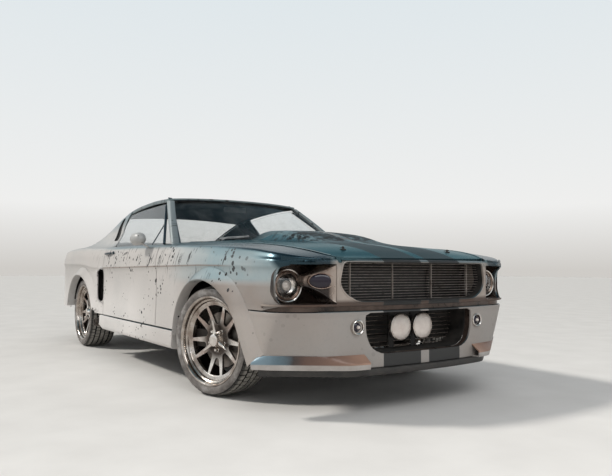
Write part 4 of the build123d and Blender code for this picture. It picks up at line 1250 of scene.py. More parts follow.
def mouth_line(grow):
    """The mouth's left half: level lips, a bulged side and a large radius at the lower corner."""
    top, low, wide = MOUTH_TOP + grow, MOUTH_LOW - grow, MOUTH_Y + grow
    half = [(wide * t / 10, top) for t in range(9)]
    corner = rounded([
        (wide * 0.9, top), (wide + 4, top), (wide + 27, 668), (wide - 8, low + 40), (wide - 86, low),
        (wide * 0.6, low),
    ], 52, 5)
    half += corner[6:-6]
    return half + [(wide * t / 10, low) for t in range(6, -1, -1)]


def make_nose():
    rise = [(-24, 770), (-24, 789), (-15, 793), (-6, 790), (-1, 783)]
    face = [(0, z) for z in (776, 766, 752, 735, 715, 695, 675, 655, 635, 615, 598, 584, 574, 567, 562)]
    fall = [(-2, 557), (-8, 555), (-40, 555)]
    open_side = [(560, 567), (930, 567), (930, 766), (560, 766)]
    cuts = [
        hole_in_front(both_halves(mouth_line(0))),
        hole_in_front(open_side),
        hole_in_front([(-y, z) for y, z in open_side]),
        at_heights(lambda p: 700 - abs(p[1]), low=740),
    ]
    mesh = wrap("nose_skin", rise + face + fall, NOSE_X, cuts)
    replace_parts(piece(mesh, nose_paint, gauge=10), "nose")


def front_ring(line, off):
    """An outline of the front view laid on the bowed front, and moved off it along the car."""
    return [(front_x(abs(y)) + off, y, z) for y, z in line]


def flat_ring(line, x):
    return [(x, y, z) for y, z in line]


dark_wall = mottled("dark_wall", [(0.016, 0.013, 0.012), (0.15, 0.105, 0.085)], 7.0, (0.18, 0.45), metal=0.5)
slat_bronze = mottled(
    "slat_bronze", [(0.20, 0.165, 0.145), (0.52, 0.46, 0.42)], 30.0, (0.25, 0.45), metal=0.4)
fin_top = along([(550, 770), (575, 755), (600, 741), (650, 720), (694, 706)])
fin_low = along([(550, 565), (575, 583), (600, 603), (620, 618), (660, 642), (694, 656)])
fin_x = along([(550, 2272), (575, 2257), (694, 2186)])


def pod_finish():
    """Bronze, with painted shade under the small lamp and the nose's painted rock reflection toward the
    grille.
    """
    material, tree, shader = new_finish("pod_bronze", rough=0.3, metal=0.45)
    place = place_on(tree)
    _, y, z = split(tree, place)
    cloud = grit(tree, place, 16.0, 6.0, 0.6)
    off = sum_of(tree, "ABSOLUTE", y)
    pale = span(tree, cloud, 0.35, 0.65)
    colour = blend_colour(tree, pale, (0.20, 0.145, 0.115, 1), (0.37, 0.30, 0.255, 1))
    # Painted shade under the small lamp, where the pod curves under.
    under = product(tree, span(tree, z, 0.690, 0.655), span(tree, off, 0.572, 0.590))
    colour = blend_colour(tree, under, colour, (0.030, 0.022, 0.019, 1))
    # Toward the grille the pod takes the nose's painted rock reflection.
    colour = blend_colour(tree, span(tree, off, 0.590, 0.556), colour, NOSE_ROCK_REFLECTION)
    feed(tree, shader, colour=colour, rough=span(tree, cloud, 0.3, 0.7, 0.2, 0.42))
    return material


def make_pockets():
    edge = rounded(POCKET, 20, 4)
    rings = [front_ring(edge, -5), front_ring(edge, -30), flat_ring(edge, 2084), flat_ring(edge, 2066)]
    tub = loft("lamp_pocket", rings, caps=(False, True))
    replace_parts(piece(pair(tub), dark_wall), "nose")
    fins = []
    for y in steps(546, 694, 8):
        top, low, x = fin_top(y), fin_low(y), fin_x(y)
        sunk = 1 + 12 * limited((y - 556) / 60)
        face = [(x - sunk, low + 9 + (top - low - 18) * t / 6) for t in range(7)]
        section = [(2118, low), (x - 10, low - 1), (x - 2, low), (x, low + 2), (x - 1, low + 4)] + face
        section += [(x - 1, top - 4), (x, top - 2), (x - 2, top), (x - 10, top + 1), (2118, top)]
        fins.append([(px, y, pz) for px, pz in section])
    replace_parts(piece(pair(loft("lamp_pod", fins)), pod_finish()), "nose")


def sleeve(name, rings):
    """A skin through rings that is open at both ends."""
    return loft(name, rings, caps=(False, False))


def make_mouth():
    lip = [(6, -2), (5, 2), (3, 3.5), (0, 3), (-2, 0), (-2, -12), (2, -14)]
    rings = [front_ring(both_halves(mouth_line(grow)), off) for grow, off in lip]
    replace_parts(piece(sleeve("mouth_lip", rings), nose_paint), "nose")
    wall = both_halves(mouth_line(-1))
    rings = [front_ring(wall, -10), front_ring(wall, -40), flat_ring(wall, 2200)]
    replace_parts(piece(sleeve("mouth_wall", rings), dark_trim, gauge=3), "nose")


def half_width(half, z):
    """How wide the left half of an outline is at a height."""
    hits = [0.0]
    for (ay, az), (by, bz) in zip(half, half[1:]):
        if min(az, bz) <= z < max(az, bz):
            hits.append(ay + (by - ay) * (z - az) / (bz - az))
    return max(hits)


def slats(name, x, heights, half, thick, deep):
    """Level slats with a rounded front edge, each as long as the opening is wide at its height."""
    rows = []
    for z in heights:
        y = half_width(half, z) - 1
        top = [(x - deep, 0.3 * thick), (x - 0.3 * deep, 0.5 * thick), (x, 0.36 * thick)]
        low = [(px, -up) for px, up in reversed(top)]
        section = [(px, z + up) for px, up in top + [(x + 0.05 * deep, 0)] + low]
        rows.append(loft(name, [[(px, s * y, pz) for px, pz in section] for s in (-1, 1)]))
    return rows


def upright(name, x, y, low, high, wide, deep):
    """A post with rounded corners between two heights."""
    corners = [(x - deep, y - wide / 2), (x, y - wide / 2), (x, y + wide / 2), (x - deep, y + wide / 2)]
    plan = rounded(corners, wide * 0.3, 3)
    return loft(name, [[(px, py, z) for px, py in plan] for z in (low, high)])


def make_upper_grille():
    heights = [MOUTH_LOW + SLAT_PITCH * (i + 0.5) for i in range(SLATS)]
    rows = joined("grille_slats", slats("slat", 2231, heights, mouth_line(-2), 2.2, 8))
    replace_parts(piece(rows, slat_bronze), "upper_grille")
    posts = [upright("post", 2226, y, MOUTH_LOW + 1, MOUTH_TOP - 1, 3.4, 12) for y in (-441, -147, 147, 441)]
    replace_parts(piece(joined("grille_posts", posts), slat_bronze), "upper_grille")


make_nose()
make_pockets()
make_mouth()
make_upper_grille()

# The valance: a deep moulded chin with a wide mouth, and a blade each side that lifts off its lower edge.
# A dark splitter is bolted under it. Nine bars and two lamp holders stand in a duct behind the mouth.
WING_Y = 405.0
CHIN_TOP = 520
CHIN_LOW = 309
BARS = 9


def valance_mouth(grow):
    top, low = CHIN_TOP + grow * 0.5, CHIN_LOW - grow
    half = [
        (0.0, top), (398 + grow, top), (393 + grow, 410), (366 + grow, 345), (305 + grow, low), (0.0, low),
    ]
    return half[:1] + rounded(half, 30, 5)[6:-6] + half[-1:]


def blade_finish():
    """Dusty paint on the lip, with a painted reflection on the blade's upper face: brown ground inboard, dark
    between, and blue sky near its outer end.
    """
    material, tree, shader = new_finish("blade_paint", rough=0.35, metal=0.1)
    place = place_on(tree)
    _, y, z = split(tree, place)
    cloud = grit(tree, place, 6.0, 6.0, 0.6)
    along_blade = sum_of(tree, "ADD", sum_of(tree, "ABSOLUTE", y), span(tree, cloud, 0.3, 0.7, -0.03, 0.03))
    # A painted reflection on the blade's upper face: brown ground, dark, then blue sky at the outer end.
    bare = ramp(tree, along_blade, [
        (0.42, (0.36, 0.22, 0.16)), (0.55, (0.22, 0.13, 0.095)), (0.70, (0.11, 0.062, 0.048)),
        (0.755, (0.045, 0.035, 0.033)), (0.81, (0.10, 0.155, 0.19)), (0.88, (0.19, 0.275, 0.33)),
    ])
    dust = blend_colour(tree, span(tree, cloud, 0.3, 0.7), CLAY_DUST_AND_GROUND_REFLECTION, DUST)
    colour = blend_colour(tree, span(tree, z, 0.266, 0.271), dust, bare)
    feed(tree, shader, colour=colour, rough=span(tree, cloud, 0.3, 0.7, 0.28, 0.5))
    return material


def make_valance():
    profile = [(-40, 529), (-9, 530), (-3, 527), (0, 521)]
    profile += [(0, z) for z in range(508, 320, -13)] + [(0, z) for z in (312, 300, 288, 276, 264, 252, 244)]
    profile += [(-3, 241), (-40, 241)]
    ring = both_halves(valance_mouth(0))
    cuts = [hole_in_front(ring), outside_of(arch_line(AXLE_X))]
    mesh = wrap("valance_skin", profile, AXLE_X + 362, cuts, tucked(0))
    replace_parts(piece(mesh, striped_paint, gauge=9), "valance")
    wall = sleeve("chin_wall", [front_ring(ring, -2), front_ring(ring, -8), front_ring(ring, -44)])
    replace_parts(piece(wall, dark_wall), "valance")


def make_lower_grille():
    ring = both_halves(valance_mouth(0))
    duct = sleeve("duct", [front_ring(ring, -45), flat_ring(ring, 2128)])
    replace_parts(piece(duct, dark_trim, gauge=4), "lower_grille")
    pitch = (CHIN_TOP - CHIN_LOW) / BARS
    heights = [CHIN_LOW + pitch * (i + 0.5) for i in range(BARS)]
    bars = slats("bar", 2140, heights, valance_mouth(5), 4, 12)
    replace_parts(piece(joined("lower_slats", bars), bronzed), "lower_grille")
    holders = [upright("holder", 2142, y, 296, 529, 40, 14) for y in (-83, 83)]
    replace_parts(piece(joined("lamp_holders", holders), dark_trim), "lower_grille")


def make_splitter():
    lip = [(-40, 240), (12, 240), (17, 238), (18, 234), (18, 211), (16, 207), (12, 205.4), (-40, 205.4)]
    skin = wrap("splitter_lip", lip, NOSE_X, [], tucked(25))
    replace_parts(piece(skin, dark_trim, gauge=3), "splitter")


def make_blades():
    profile = [
        (-10, 314), (2, 312), (14, 305), (34, 289), (46, 281), (51, 277), (52, 270), (51, 250), (47, 243),
        (-10, 241),
    ]
    skin = wrap("blade", profile, 2040, [lambda p: abs(p[1]) - WING_Y], tucked(-4))
    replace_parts(piece(skin, blade_finish(), gauge=6), "valance")


bronzed = mottled("bronzed", [(0.20, 0.16, 0.135), (0.42, 0.36, 0.32)], 9.0, (0.18, 0.38), metal=0.7)

make_valance()
make_lower_grille()
make_splitter()
make_blades()

# The wheels: cast alloy with a deep stepped lip, five pairs of slim spokes with bright machined faces, and a
# three-eared knock-off spinner over the lug nuts. Low tyres with a blocked road tread. The front wheels stand
# steered, and have swung about kingpins a little inboard of them.
TRACK_Y = 736.0
STEER = math.radians(15)
KINGPIN_IN = 46.0
SWING_X = round(KINGPIN_IN * math.sin(STEER), 3)
SWING_Y = round(KINGPIN_IN * (1 - math.cos(STEER)), 3)
PITCHES = 56
RIB_DEEP = 8
BLOCK_DEEP = 6.0
MIDDLE_DEEP = 2.5
FACE_DEPTH = 13
WHEELS = {
    "front_left": ((AXLE_X - SWING_X, TRACK_Y - SWING_Y), STEER),
    "front_right": ((AXLE_X + SWING_X, SWING_Y - TRACK_Y), STEER + math.pi),
    "rear_left": ((-AXLE_X, TRACK_Y), 0.0),
    "rear_right": ((-AXLE_X, -TRACK_Y), math.pi),
}


def mesh_without(mesh, spare):
    """The mesh without the points that no face uses."""
    net = bmesh.new()
    net.from_mesh(mesh)
    net.verts.ensure_lookup_table()
    bmesh.ops.delete(net, geom=[net.verts[v] for v in spare], context="VERTS")
    net.to_mesh(mesh)
    net.free()
    return mesh


def lathe(name, profile, count=96, axis="y", centre=(0, 0, 0)):
    """A turned shape: the profile is (along the axis, radius), and a closed one ends where it starts."""
    closed = profile[0] == profile[-1]
    ring = profile[:-1] if closed else profile
    points, faces = [], []
    for k in range(count):
        a = 2 * math.pi * k / count
        c, s = math.cos(a), math.sin(a)
        for along_axis, radius in ring:
            a, b = radius * c, radius * s
            spot = (a, along_axis, b) if axis == "y" else (along_axis, a, b)
            points.append(tuple(p + q for p, q in zip(spot, centre)))
    size = len(ring)
    for k in range(count):
        for i in range(size if closed else size - 1):
            j = (i + 1) % size
            a, b = k * size, (k + 1) % count * size
            corners = [a + i, a + j, b + j, b + i]
            if ring[i][1] == 0:
                corners = [a + j, b + j, i]
            elif ring[j][1] == 0:
                corners = [a + i, j, b + i]
            faces.append(corners)
    mesh = new_mesh(name, points, faces)
    loose = [v for v in range(len(points)) if ring[v % size][1] == 0 and v >= size]
    return outward(mesh_without(mesh, loose) if loose else mesh)


def moved(mesh, matrix):
    mesh.transform(matrix)
    return mesh


def from_axle(tree, x, z):
    """How far a place on a wheel is from its axle."""
    flat = node(tree, "ShaderNodeCombineXYZ", {0: x, 2: z}).outputs[0]
    return node(tree, "ShaderNodeVectorMath", {0: flat}, operation="LENGTH").outputs["Value"]


def rubber_finish():
    """Black rubber, grey with dust in the tread and on the walls, with fine moulded rings near the bead."""
    material, tree, shader = new_finish("dusty_rubber", rough=0.85)
    place = place_on(tree)
    x, y, z = split(tree, place)
    radius = from_axle(tree, x, z)
    off = sum_of(tree, "ABSOLUTE", y)
    cloud = grit(tree, place, 14.0, 7.0, 0.65)
    dust = ramp(tree, cloud, [
        (0.28, (0.07, 0.062, 0.056)), (0.5, (0.17, 0.155, 0.145)), (0.72, (0.38, 0.37, 0.36)),
    ])
    reach = sum_of(tree, "POWER", sum_of(tree, "MULTIPLY", off, 9.35), 2.4)
    crown = sum_of(tree, "SUBTRACT", 0.3203, sum_of(tree, "MULTIPLY", reach, 0.0093))
    sunk = span(tree, sum_of(tree, "SUBTRACT", crown, radius), 0.0008, 0.0045)
    worn = ramp(tree, cloud, [(0.3, (0.16, 0.15, 0.135)), (0.7, (0.36, 0.34, 0.31))])
    shoulder = span(tree, off, 0.088, 0.100)
    tread = blend_colour(tree, most(tree, sunk, product(tree, shoulder, 0.8)), worn, (0.010, 0.010, 0.010, 1))
    feed(tree, shader, colour=blend_colour(tree, span(tree, off, 0.1085, 0.1095), tread, dust))
    rings = sum_of(tree, "SINE", sum_of(tree, "MULTIPLY", radius, 2100.0))
    rings = product(tree, rings, span(tree, radius, 0.285, 0.290, 1.0, 0.0), 0.25)
    bump(tree, shader, sum_of(tree, "ADD", rings, cloud), 0.35, 0.002)
    return material


def machined_finish():
    """Cast alloy: bright where the cutter has faced it, dark and dusty down the sides of its pockets."""
    material, tree, shader = new_finish("machined_alloy", rough=0.3, metal=1.0)
    place = place_on(tree)
    x, _, z = split(tree, place)
    cloud = grit(tree, place, 30.0, 5.0)
    stain = grit(tree, place, 9.0, 5.0)
    face = span(tree, sum_of(tree, "ABSOLUTE", facing(tree)[1]), 0.72, 0.9)
    bright = blend_colour(tree, span(tree, stain, 0.42, 0.58), (0.40, 0.32, 0.28, 1), (0.74, 0.71, 0.67, 1))
    outward_of_hub = span(tree, from_axle(tree, x, z), 0.085, 0.150)
    bright = blend_colour(tree, outward_of_hub, (0.075, 0.062, 0.054, 1), bright)
    feed(tree, shader, colour=blend_colour(tree, face, (0.045, 0.038, 0.034, 1), bright),
         rough=span(tree, cloud, 0.3, 0.7, 0.22, 0.42), metal=span(tree, face, 0.0, 1.0, 0.35, 0.95))
    bump(tree, shader, cloud, 0.06, 0.0006)
    return material


rubber = rubber_finish()
machined = machined_finish()
polished = mottled(
    "polished_lip", [(0.20, 0.155, 0.13), (0.40, 0.35, 0.31), (0.66, 0.63, 0.60)], 9.0, (0.12, 0.30),
    metal=1.0, relief=0.04)
chrome = mottled("worn_chrome", [(0.50, 0.44, 0.40), (0.82, 0.79, 0.75)], 18.0, (0.06, 0.22), metal=1.0)
dark_cast = mottled(
    "dark_cast", [(0.018, 0.016, 0.015), (0.060, 0.052, 0.046)], 22.0, (0.45, 0.75), metal=0.4, relief=0.3)
brake_steel = mottled("brake_steel", [(0.16, 0.13, 0.11), (0.36, 0.33, 0.30)], 26.0, (0.3, 0.55), metal=0.9)


def make_tyre_mesh():
    """The carcass, with ribs of blocks: each rib is cut across at its own place in every pitch."""
    ribs = [(-107, -71, 0), (-58, -26, 1), (-14, 14, 0), (26, 58, 1), (71, 107, 0)]
    wall = [(-109, 246), (-110, 262), (-114, 264), (-117.5, 272), (-119.6, 283), (-118.8, 294), (-114, 304)]
    stations = [(y, r, None) for y, r in wall]
    for start, end, phase in ribs:
        top = [start, start + 0.27 * (end - start), start + 0.73 * (end - start), end]
        crown = [320.3 - 9.3 * (abs(y) / 107) ** 2.4 for y in top]
        floor = min(crown) - RIB_DEEP
        stations.append((start - 0.8, floor, None))
        stations += [(y, r, phase) for y, r in zip(top, crown)]
        stations.append((end + 0.8, floor, None))
    stations += [(-y, r, None) for y, r in reversed(wall)]
    cuts = [0.0, 0.02, 0.19, 0.21, 0.5, 0.52, 0.69, 0.71]
    points, faces = [], []
    for pitch in range(PITCHES):
        for t in cuts:
            a = 2 * math.pi * (pitch + t) / PITCHES
            for y, r, phase in stations:
                sunk = phase is not None and (0.01 < t < 0.20 if phase == 0 else 0.51 < t < 0.70)
                deep = MIDDLE_DEEP if abs(y) < 20 else BLOCK_DEEP
                lean = 0.012 * (abs(y) / 100) * (1 if y > 0 else -1) if phase is not None else 0
                radius = r - deep if sunk else r
                points.append((radius * math.cos(a + lean), y, radius * math.sin(a + lean)))
    size = len(stations)
    total = PITCHES * len(cuts)
    for k in range(total):
        a, b = k * size, (k + 1) % total * size
        for i in range(size - 1):
            faces.append((a + i, a + i + 1, b + i + 1, b + i))
    return outward(new_mesh("tyre", points, faces))


def window_cut(angle, corners, soft, reach):
    """Below zero inside a window of the wheel's face, drawn along a radius and cut off at a circle."""
    inside = outside_of(rounded(corners, soft, 5))

    def cut(point):
        x, z = point[0], point[2]
        u = x * math.cos(angle) + z * math.sin(angle)
        v = z * math.cos(angle) - x * math.sin(angle)
        if u < 60:
            return 50.0
        return max(inside((u, 0, v)), math.hypot(x, z) - reach)

    return cut


def make_wheel_face():
    dish = along([(20, 44), (64, 46), (110, 50), (160, 57), (205, 66), (222, 69)])
    wide = [(94, 15), (226, 79), (226, -79), (94, -15)]
    slim = [(106, 13), (226, 54), (226, -54), (106, -13)]
    cuts = []
    for k in range(5):
        cuts.append(window_cut(math.radians(90 + 72 * k), wide, 16, 207))
        cuts.append(window_cut(math.radians(126 + 72 * k), slim, 22, 205))

    def nearest(point):
        return min(cut(point) for cut in cuts)

    def place(turn, radius):
        a = math.radians(turn)
        return (radius * math.cos(a), dish(radius), radius * math.sin(a))

    return panel_mesh("wheel_face", steps(0, 360, 1.5), steps(32, 220, 5), place, [nearest], (0, 1, 0))


def make_spinner_mesh():
    """Three swept ears on a round hub, with a plain domed cap."""
    parts = [lathe("hub", [(40, 0), (40, 50), (52, 48), (60, 42), (74, 38), (82, 35), (84, 31), (84, 0)], 64)]
    around = [2 * math.pi * i / 12 for i in range(12)]
    for k in range(3):
        rings = []
        for t in range(9):
            r = 24 + 92 * t / 8
            half = 15 - 8.5 * (t / 8) ** 0.8
            thick = 9 - 4.5 * t / 8
            y = 66 + 10 * (t / 8) ** 2
            if t == 8:
                half, thick = half * 0.55, thick * 0.5
            rings.append([(r, y + thick * math.sin(b), half * math.cos(b)) for b in around])
        ear = loft("ear", rings)
        parts.append(moved(ear, Matrix.Rotation(math.radians(277 + 120 * k), 4, "Y")))
    return joined("spinner", parts)


def make_lug_nuts():
    nut = [(44, 0), (44, 15), (48, 15), (48, 12), (60, 12), (66, 8), (67, 0)]
    parts = []
    for k in range(5):
        a = math.radians(54 + 72 * k)
        parts.append(lathe("nut", nut, 6, centre=(58 * math.cos(a), 0, 58 * math.sin(a))))
    return joined("lug_nuts", parts)


def make_wheels():
    barrel = [
        (112, 262), (115.5, 261), (116.5, 257), (115, 251), (111, 247), (103, 244), (90, 242.5), (87, 239),
        (84, 234), (78, 231.5), (74, 229), (72, 224), (71, 215), (67, 209), (60, 207), (44, 207), (42, 231),
        (-109, 233), (-115, 246), (-116.5, 257), (-115, 261), (-111, 262), (-108, 258), (-108, 247),
        (108, 247), (109, 258), (112, 262),
    ]
    disc = [
        (-8, 60), (-8, 163), (-5, 165), (-1, 165), (-1, 150), (3, 150), (3, 165), (7, 165), (10, 163),
        (10, 60), (44, 58), (47, 40), (47, 0),
    ]
    parts = {
        "tread": (make_tyre_mesh(), rubber, "tyre", 40),
        "barrel": (lathe("barrel", barrel, 128), polished, "alloy", 28),
        "wheel_face": (make_wheel_face(), machined, "alloy", 30),
        "hub": (lathe("hub", disc, 72), brake_steel, "alloy", 30),
        "spinner": (make_spinner_mesh(), chrome, "bright", 40),
        "lug_nuts": (make_lug_nuts(), chrome, "bright", 30),
    }
    stands_for = {"tread": "tyre", "barrel": "rim"}
    for kind, (mesh, finish, slot, crisp) in parts.items():
        shared = None
        for end, ((x, y), turn) in WHEELS.items():
            thing = link(bpy.data.objects.new(f"{kind}_{end}", shared or mesh))
            if shared is None:
                if kind == "wheel_face":
                    thick = thing.modifiers.new("depth", "SOLIDIFY")
                    thick.thickness = FACE_DEPTH * MM
                    thick.offset = -1
                    settle(thing)
                thing.data.name = kind
                finish_off(thing, finish, crisp)
                shared = thing.data
            stand = Matrix.Translation((x * MM, y * MM, TYRE_R * MM))
            thing.matrix_world = stand @ Matrix.Rotation(turn, 4, "Z")
            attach(thing, f"wheel_{end}")
            if kind in stands_for:
                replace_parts(thing, f"{stands_for[kind]}_{end}")


make_wheels()

# The lamps: sealed beams in chrome rings for the head, a small one in each pod, a turn lamp each side of the
# valance, and a pair of clear driving lamps on the lower grille.
TURN_LAMP = (2296.0, 446.0, 450.0)
DRIVING_LAMP = (2218.0, 83.0, 428.0)


def lens_finish(name, tint, fluted=0.0, rough=0.02, clear=1.0):
    """Moulded glass with upright flutes."""
    material, tree, shader = new_finish(name, tint, rough)
    shader.inputs["Transmission Weight"].default_value = clear
    shader.inputs["IOR"].default_value = 1.48
    place = place_on(tree)
    flutes = sum_of(tree, "SINE", sum_of(tree, "MULTIPLY", split(tree, place)[1], 620.0))
    specks = grit(tree, place, 40.0, 5.0)
    feed(tree, shader, rough=span(tree, specks, 0.45, 0.75, rough, rough + 0.12))
    bump(tree, shader, sum_of(tree, "ADD", sum_of(tree, "MULTIPLY", flutes, fluted), specks), 0.15, 0.001)
    return material


clear_lens = lens_finish("clear_lens", (0.97, 0.96, 0.95, 1), 0.2)
smoked_lens = lens_finish("smoked_lens", (0.010, 0.005, 0.016, 1), 0.0, clear=0.1)
reflector = mottled("reflector", [(0.62, 0.57, 0.53), (0.85, 0.81, 0.77)], 12.0, (0.10, 0.25), metal=1.0)
bronze_ring = mottled("bronze_ring", [(0.14, 0.09, 0.07), (0.36, 0.27, 0.22)], 20.0, (0.2, 0.4), metal=0.9)
frosted = mottled(
    "frosted_lamp", [(0.66, 0.57, 0.52), (0.84, 0.77, 0.71)], 14.0, (0.25, 0.45), metal=0.25, coat=0.6,
    relief=0.08)


def lamp_parts(kind, at, parts, wide=1.0, skew=0.0):
    """Turned parts of a lamp on the left, and their mirror image. Wide makes the circle an oval."""
    for label, profile, finish in parts:
        mesh = lathe(f"{kind}_{label}", profile, 72, "x", at)
        for v in mesh.vertices:
            v.co.y = at[1] * MM + (v.co.y - at[1] * MM) * wide
            v.co.x += (v.co.y - at[1] * MM) * skew
        thing = piece(pair(mesh), finish, crisp=40)
        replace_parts(thing, f"{kind}s")


def make_lamps_front():
    lamp_parts("headlamp", HEADLAMP, [
        ("shell", [
            (-46, 0), (-46, 60), (-30, 80), (-24, 86), (-12, 88), (-2, 88), (3, 86), (5, 82), (3, 77),
            (-3, 75), (-8, 74), (-8, 73), (-30, 62), (-40, 40), (-43, 0),
        ], chrome),
        ("inner_ring", [(-6, 74), (-1, 72), (1, 68), (-2, 64), (-10, 62), (-14, 66), (-6, 74)], bronze_ring),
        ("bowl", [
            (-42, 0), (-41, 20), (-34, 44), (-20, 60), (-10, 64), (-13, 66), (-26, 60), (-40, 42), (-44, 0),
        ], reflector),
        ("bulb_cap", [
            (-42, 0), (-40, 8), (-24, 10), (-18, 24), (-10, 25), (-4, 19), (-1, 9), (0, 0),
        ], frosted),
        ("bulb_shade", [(-22, 26), (-12, 27), (-10, 29), (-22, 36), (-26, 34), (-22, 26)], dark_cast),
        ("lens", [
            (-3, 66), (4, 60), (11, 45), (16, 24), (17, 0), (14, 0), (13, 23), (8, 43), (1, 57), (-5, 63),
            (-3, 66),
        ], clear_lens),
    ])
    lamp_parts("pod_lamp", POD_LAMP, [
        ("ring", [
            (-46, 0), (-46, 38), (0, 40), (4, 39.5), (5, 38), (4, 36.5), (-4, 36), (-8, 33), (-10, 0),
        ], bronze_ring),
        ("lens", [(-8, 0), (-7, 33), (-3, 36), (1, 33), (6, 22), (8, 0)], smoked_lens),
    ], 1.5, -0.55)
    lamp_parts("turn_lamp", TURN_LAMP, [
        ("ring", [(-26, 0), (-26, 39), (-2, 39), (4, 37.5), (6, 34), (3, 30), (-10, 27), (-14, 0)], chrome),
        ("lens", [(-12, 0), (-10, 26), (-5, 20), (0, 12), (2, 0)], smoked_lens),
        ("bulb", [(-12, 0), (-8, 9), (3, 9.5), (9, 6), (11, 0)], frosted),
    ])
    lamp_parts("driving_lamp", DRIVING_LAMP, [
        ("shell", [
            (-56, 0), (-56, 34), (-44, 56), (-26, 69), (-12, 74), (-2, 75), (2, 73), (3, 70), (0, 68),
            (-8, 67), (-10, 0),
        ], chrome),
        ("lens", [(-6, 0), (-4, 60), (0, 67), (3, 66), (8, 54), (12, 36), (14, 16), (14.6, 0)], frosted),
    ])


make_lamps_front()

# The glass: a curved windshield in a black rubber seal, flat frameless side glass and a long backlight, all
# dusty. Each door carries a vent post and a round-nosed mirror on a stalk.
GLASS_FOOT_Z = 905
GLASS_RISE = 425
GLASS_HALF = 724
GLASS_TAPER = 149
SIDE_LEAN = 0.602


def glass_finish():
    material, tree, shader = new_finish("dusty_glass", (0.95, 0.96, 0.96), 0.0)
    shader.inputs["IOR"].default_value = 1.18
    film = span(tree, grit(tree, place_on(tree), 9.0, 8.0, 0.75), 0.45, 0.85, 0.0, 0.06)
    tree.links.new(sum_of(tree, "SUBTRACT", 1.0, film), shader.inputs["Transmission Weight"])
    feed(tree, shader, colour=blend_colour(tree, film, (0.94, 0.955, 0.955, 1), (0.5, 0.48, 0.46, 1)),
         rough=span(tree, film, 0.0, 0.06, 0.0, 0.08))
    return material


def dress(names, material):
    """Gives pieces that are shown as they are their finish."""
    for name in names.split():
        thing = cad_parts[name]
        thing.data.materials.clear()
        thing.data.materials.append(material)


glass = glass_finish()
seal = mottled("black_seal", [(0.006, 0.012, 0.018), (0.016, 0.034, 0.048)], 20.0, (0.25, 0.5), relief=0.1)
dress("windshield backlight door_glass_left door_glass_right", glass)


def glass_point(y, z, off=0.0):
    """A place on the outside of the windshield."""
    t = (z - GLASS_FOOT_Z) / GLASS_RISE
    middle, side, reach = 741 - 617 * t, 634 - 611 * t, GLASS_HALF - GLASS_TAPER * t
    return (middle - (middle - side) * (y / reach) ** 2 + off, y, z + off * 0.6)


def side_glass_y(z, foot):
    """How far out the leaning side glass lies at a height, from a foot of that height."""
    return 806 - SIDE_LEAN * (z - foot)


def make_seals():
    edge = [glass_point(710 - GLASS_TAPER * t / 14 * 0.99, 918 + 385 * t / 14, 3) for t in range(15)]
    sides = strip("windshield_seal", edge, 32, 8, (0, 1, 0))
    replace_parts(piece(pair(sides), seal), "roof")
    low = [glass_point(y, hood_z(660) - 6 - 44 * (y / 694) ** 2 + 8, 4) for y in steps(-690, 690, 40)]
    piece(strip("cowl_seal", low, 9, 16, (0, 0, 1)), seal)
    header = []
    for k in range(31):
        y = -578 + 1156 * k / 30
        z = roof_z(150) - (roof_z(150) - rail_z(110)) * (y / 592) ** 2 - 17
        header.append(glass_point(y, z, 2))
    piece(strip("header_seal", header, 9, 12, (0, 0, 1)), seal)
    rail = [(x, rail_y(x) - 7, rail_z(x) - 16) for x in steps(95, -700, 40)]
    piece(pair(strip("rail_seal", rail, 12, 12)), seal)
    for side, flip in (("left", 1), ("right", -1)):
        post = [(318, flip * side_glass_y(z, 895), z) for z in (900, 960, 1020, 1084)]
        piece(strip(f"vent_post_{side}", post, 12, 10), seal, f"door_{side}")
        slope = []
        for t in range(11):
            z = 1248 - 331 * t / 10
            slope.append((88 + 474 * t / 10, flip * side_glass_y(z, 900), z))
        piece(strip(f"glass_edge_{side}", slope, 20, 9), seal, f"door_{side}")


def make_mirrors():
    nose = [
        (-46, 0), (-46, 39), (-49, 42), (-50, 45), (-46, 46), (-10, 46), (18, 45.4), (38, 42.5), (54, 36),
        (66, 27), (73, 16), (76, 0),
    ]
    around = [2 * math.pi * k / 14 for k in range(14)]
    for side, flip in (("left", 1), ("right", -1)):
        shell = lathe(f"mirror_shell_{side}", nose, 56, "x", (430, flip * 938, 952))
        stalk = []
        for t in range(7):
            x, y, z = mix((441, 836, 880), (432, 926, 925), t / 6)
            wide = 17 - 6 * t / 6
            stalk.append([(x + wide * math.cos(a), flip * (y + 5 * math.sin(a) * 0.7), z + 8 * math.sin(a))
                          for a in around])
        shape = joined(f"mirror_{side}_shell", [shell, loft("stalk", stalk)])
        thing = piece(shape, chalky_paint, f"door_{side}")
        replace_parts(thing, f"mirror_{side}")


make_seals()
make_mirrors()

# The doors' insides: a steel shell faced with a cloth-covered card, and a padded arm rest screwed to it.
# Outside, each door has a pull handle with its lock below the belt.


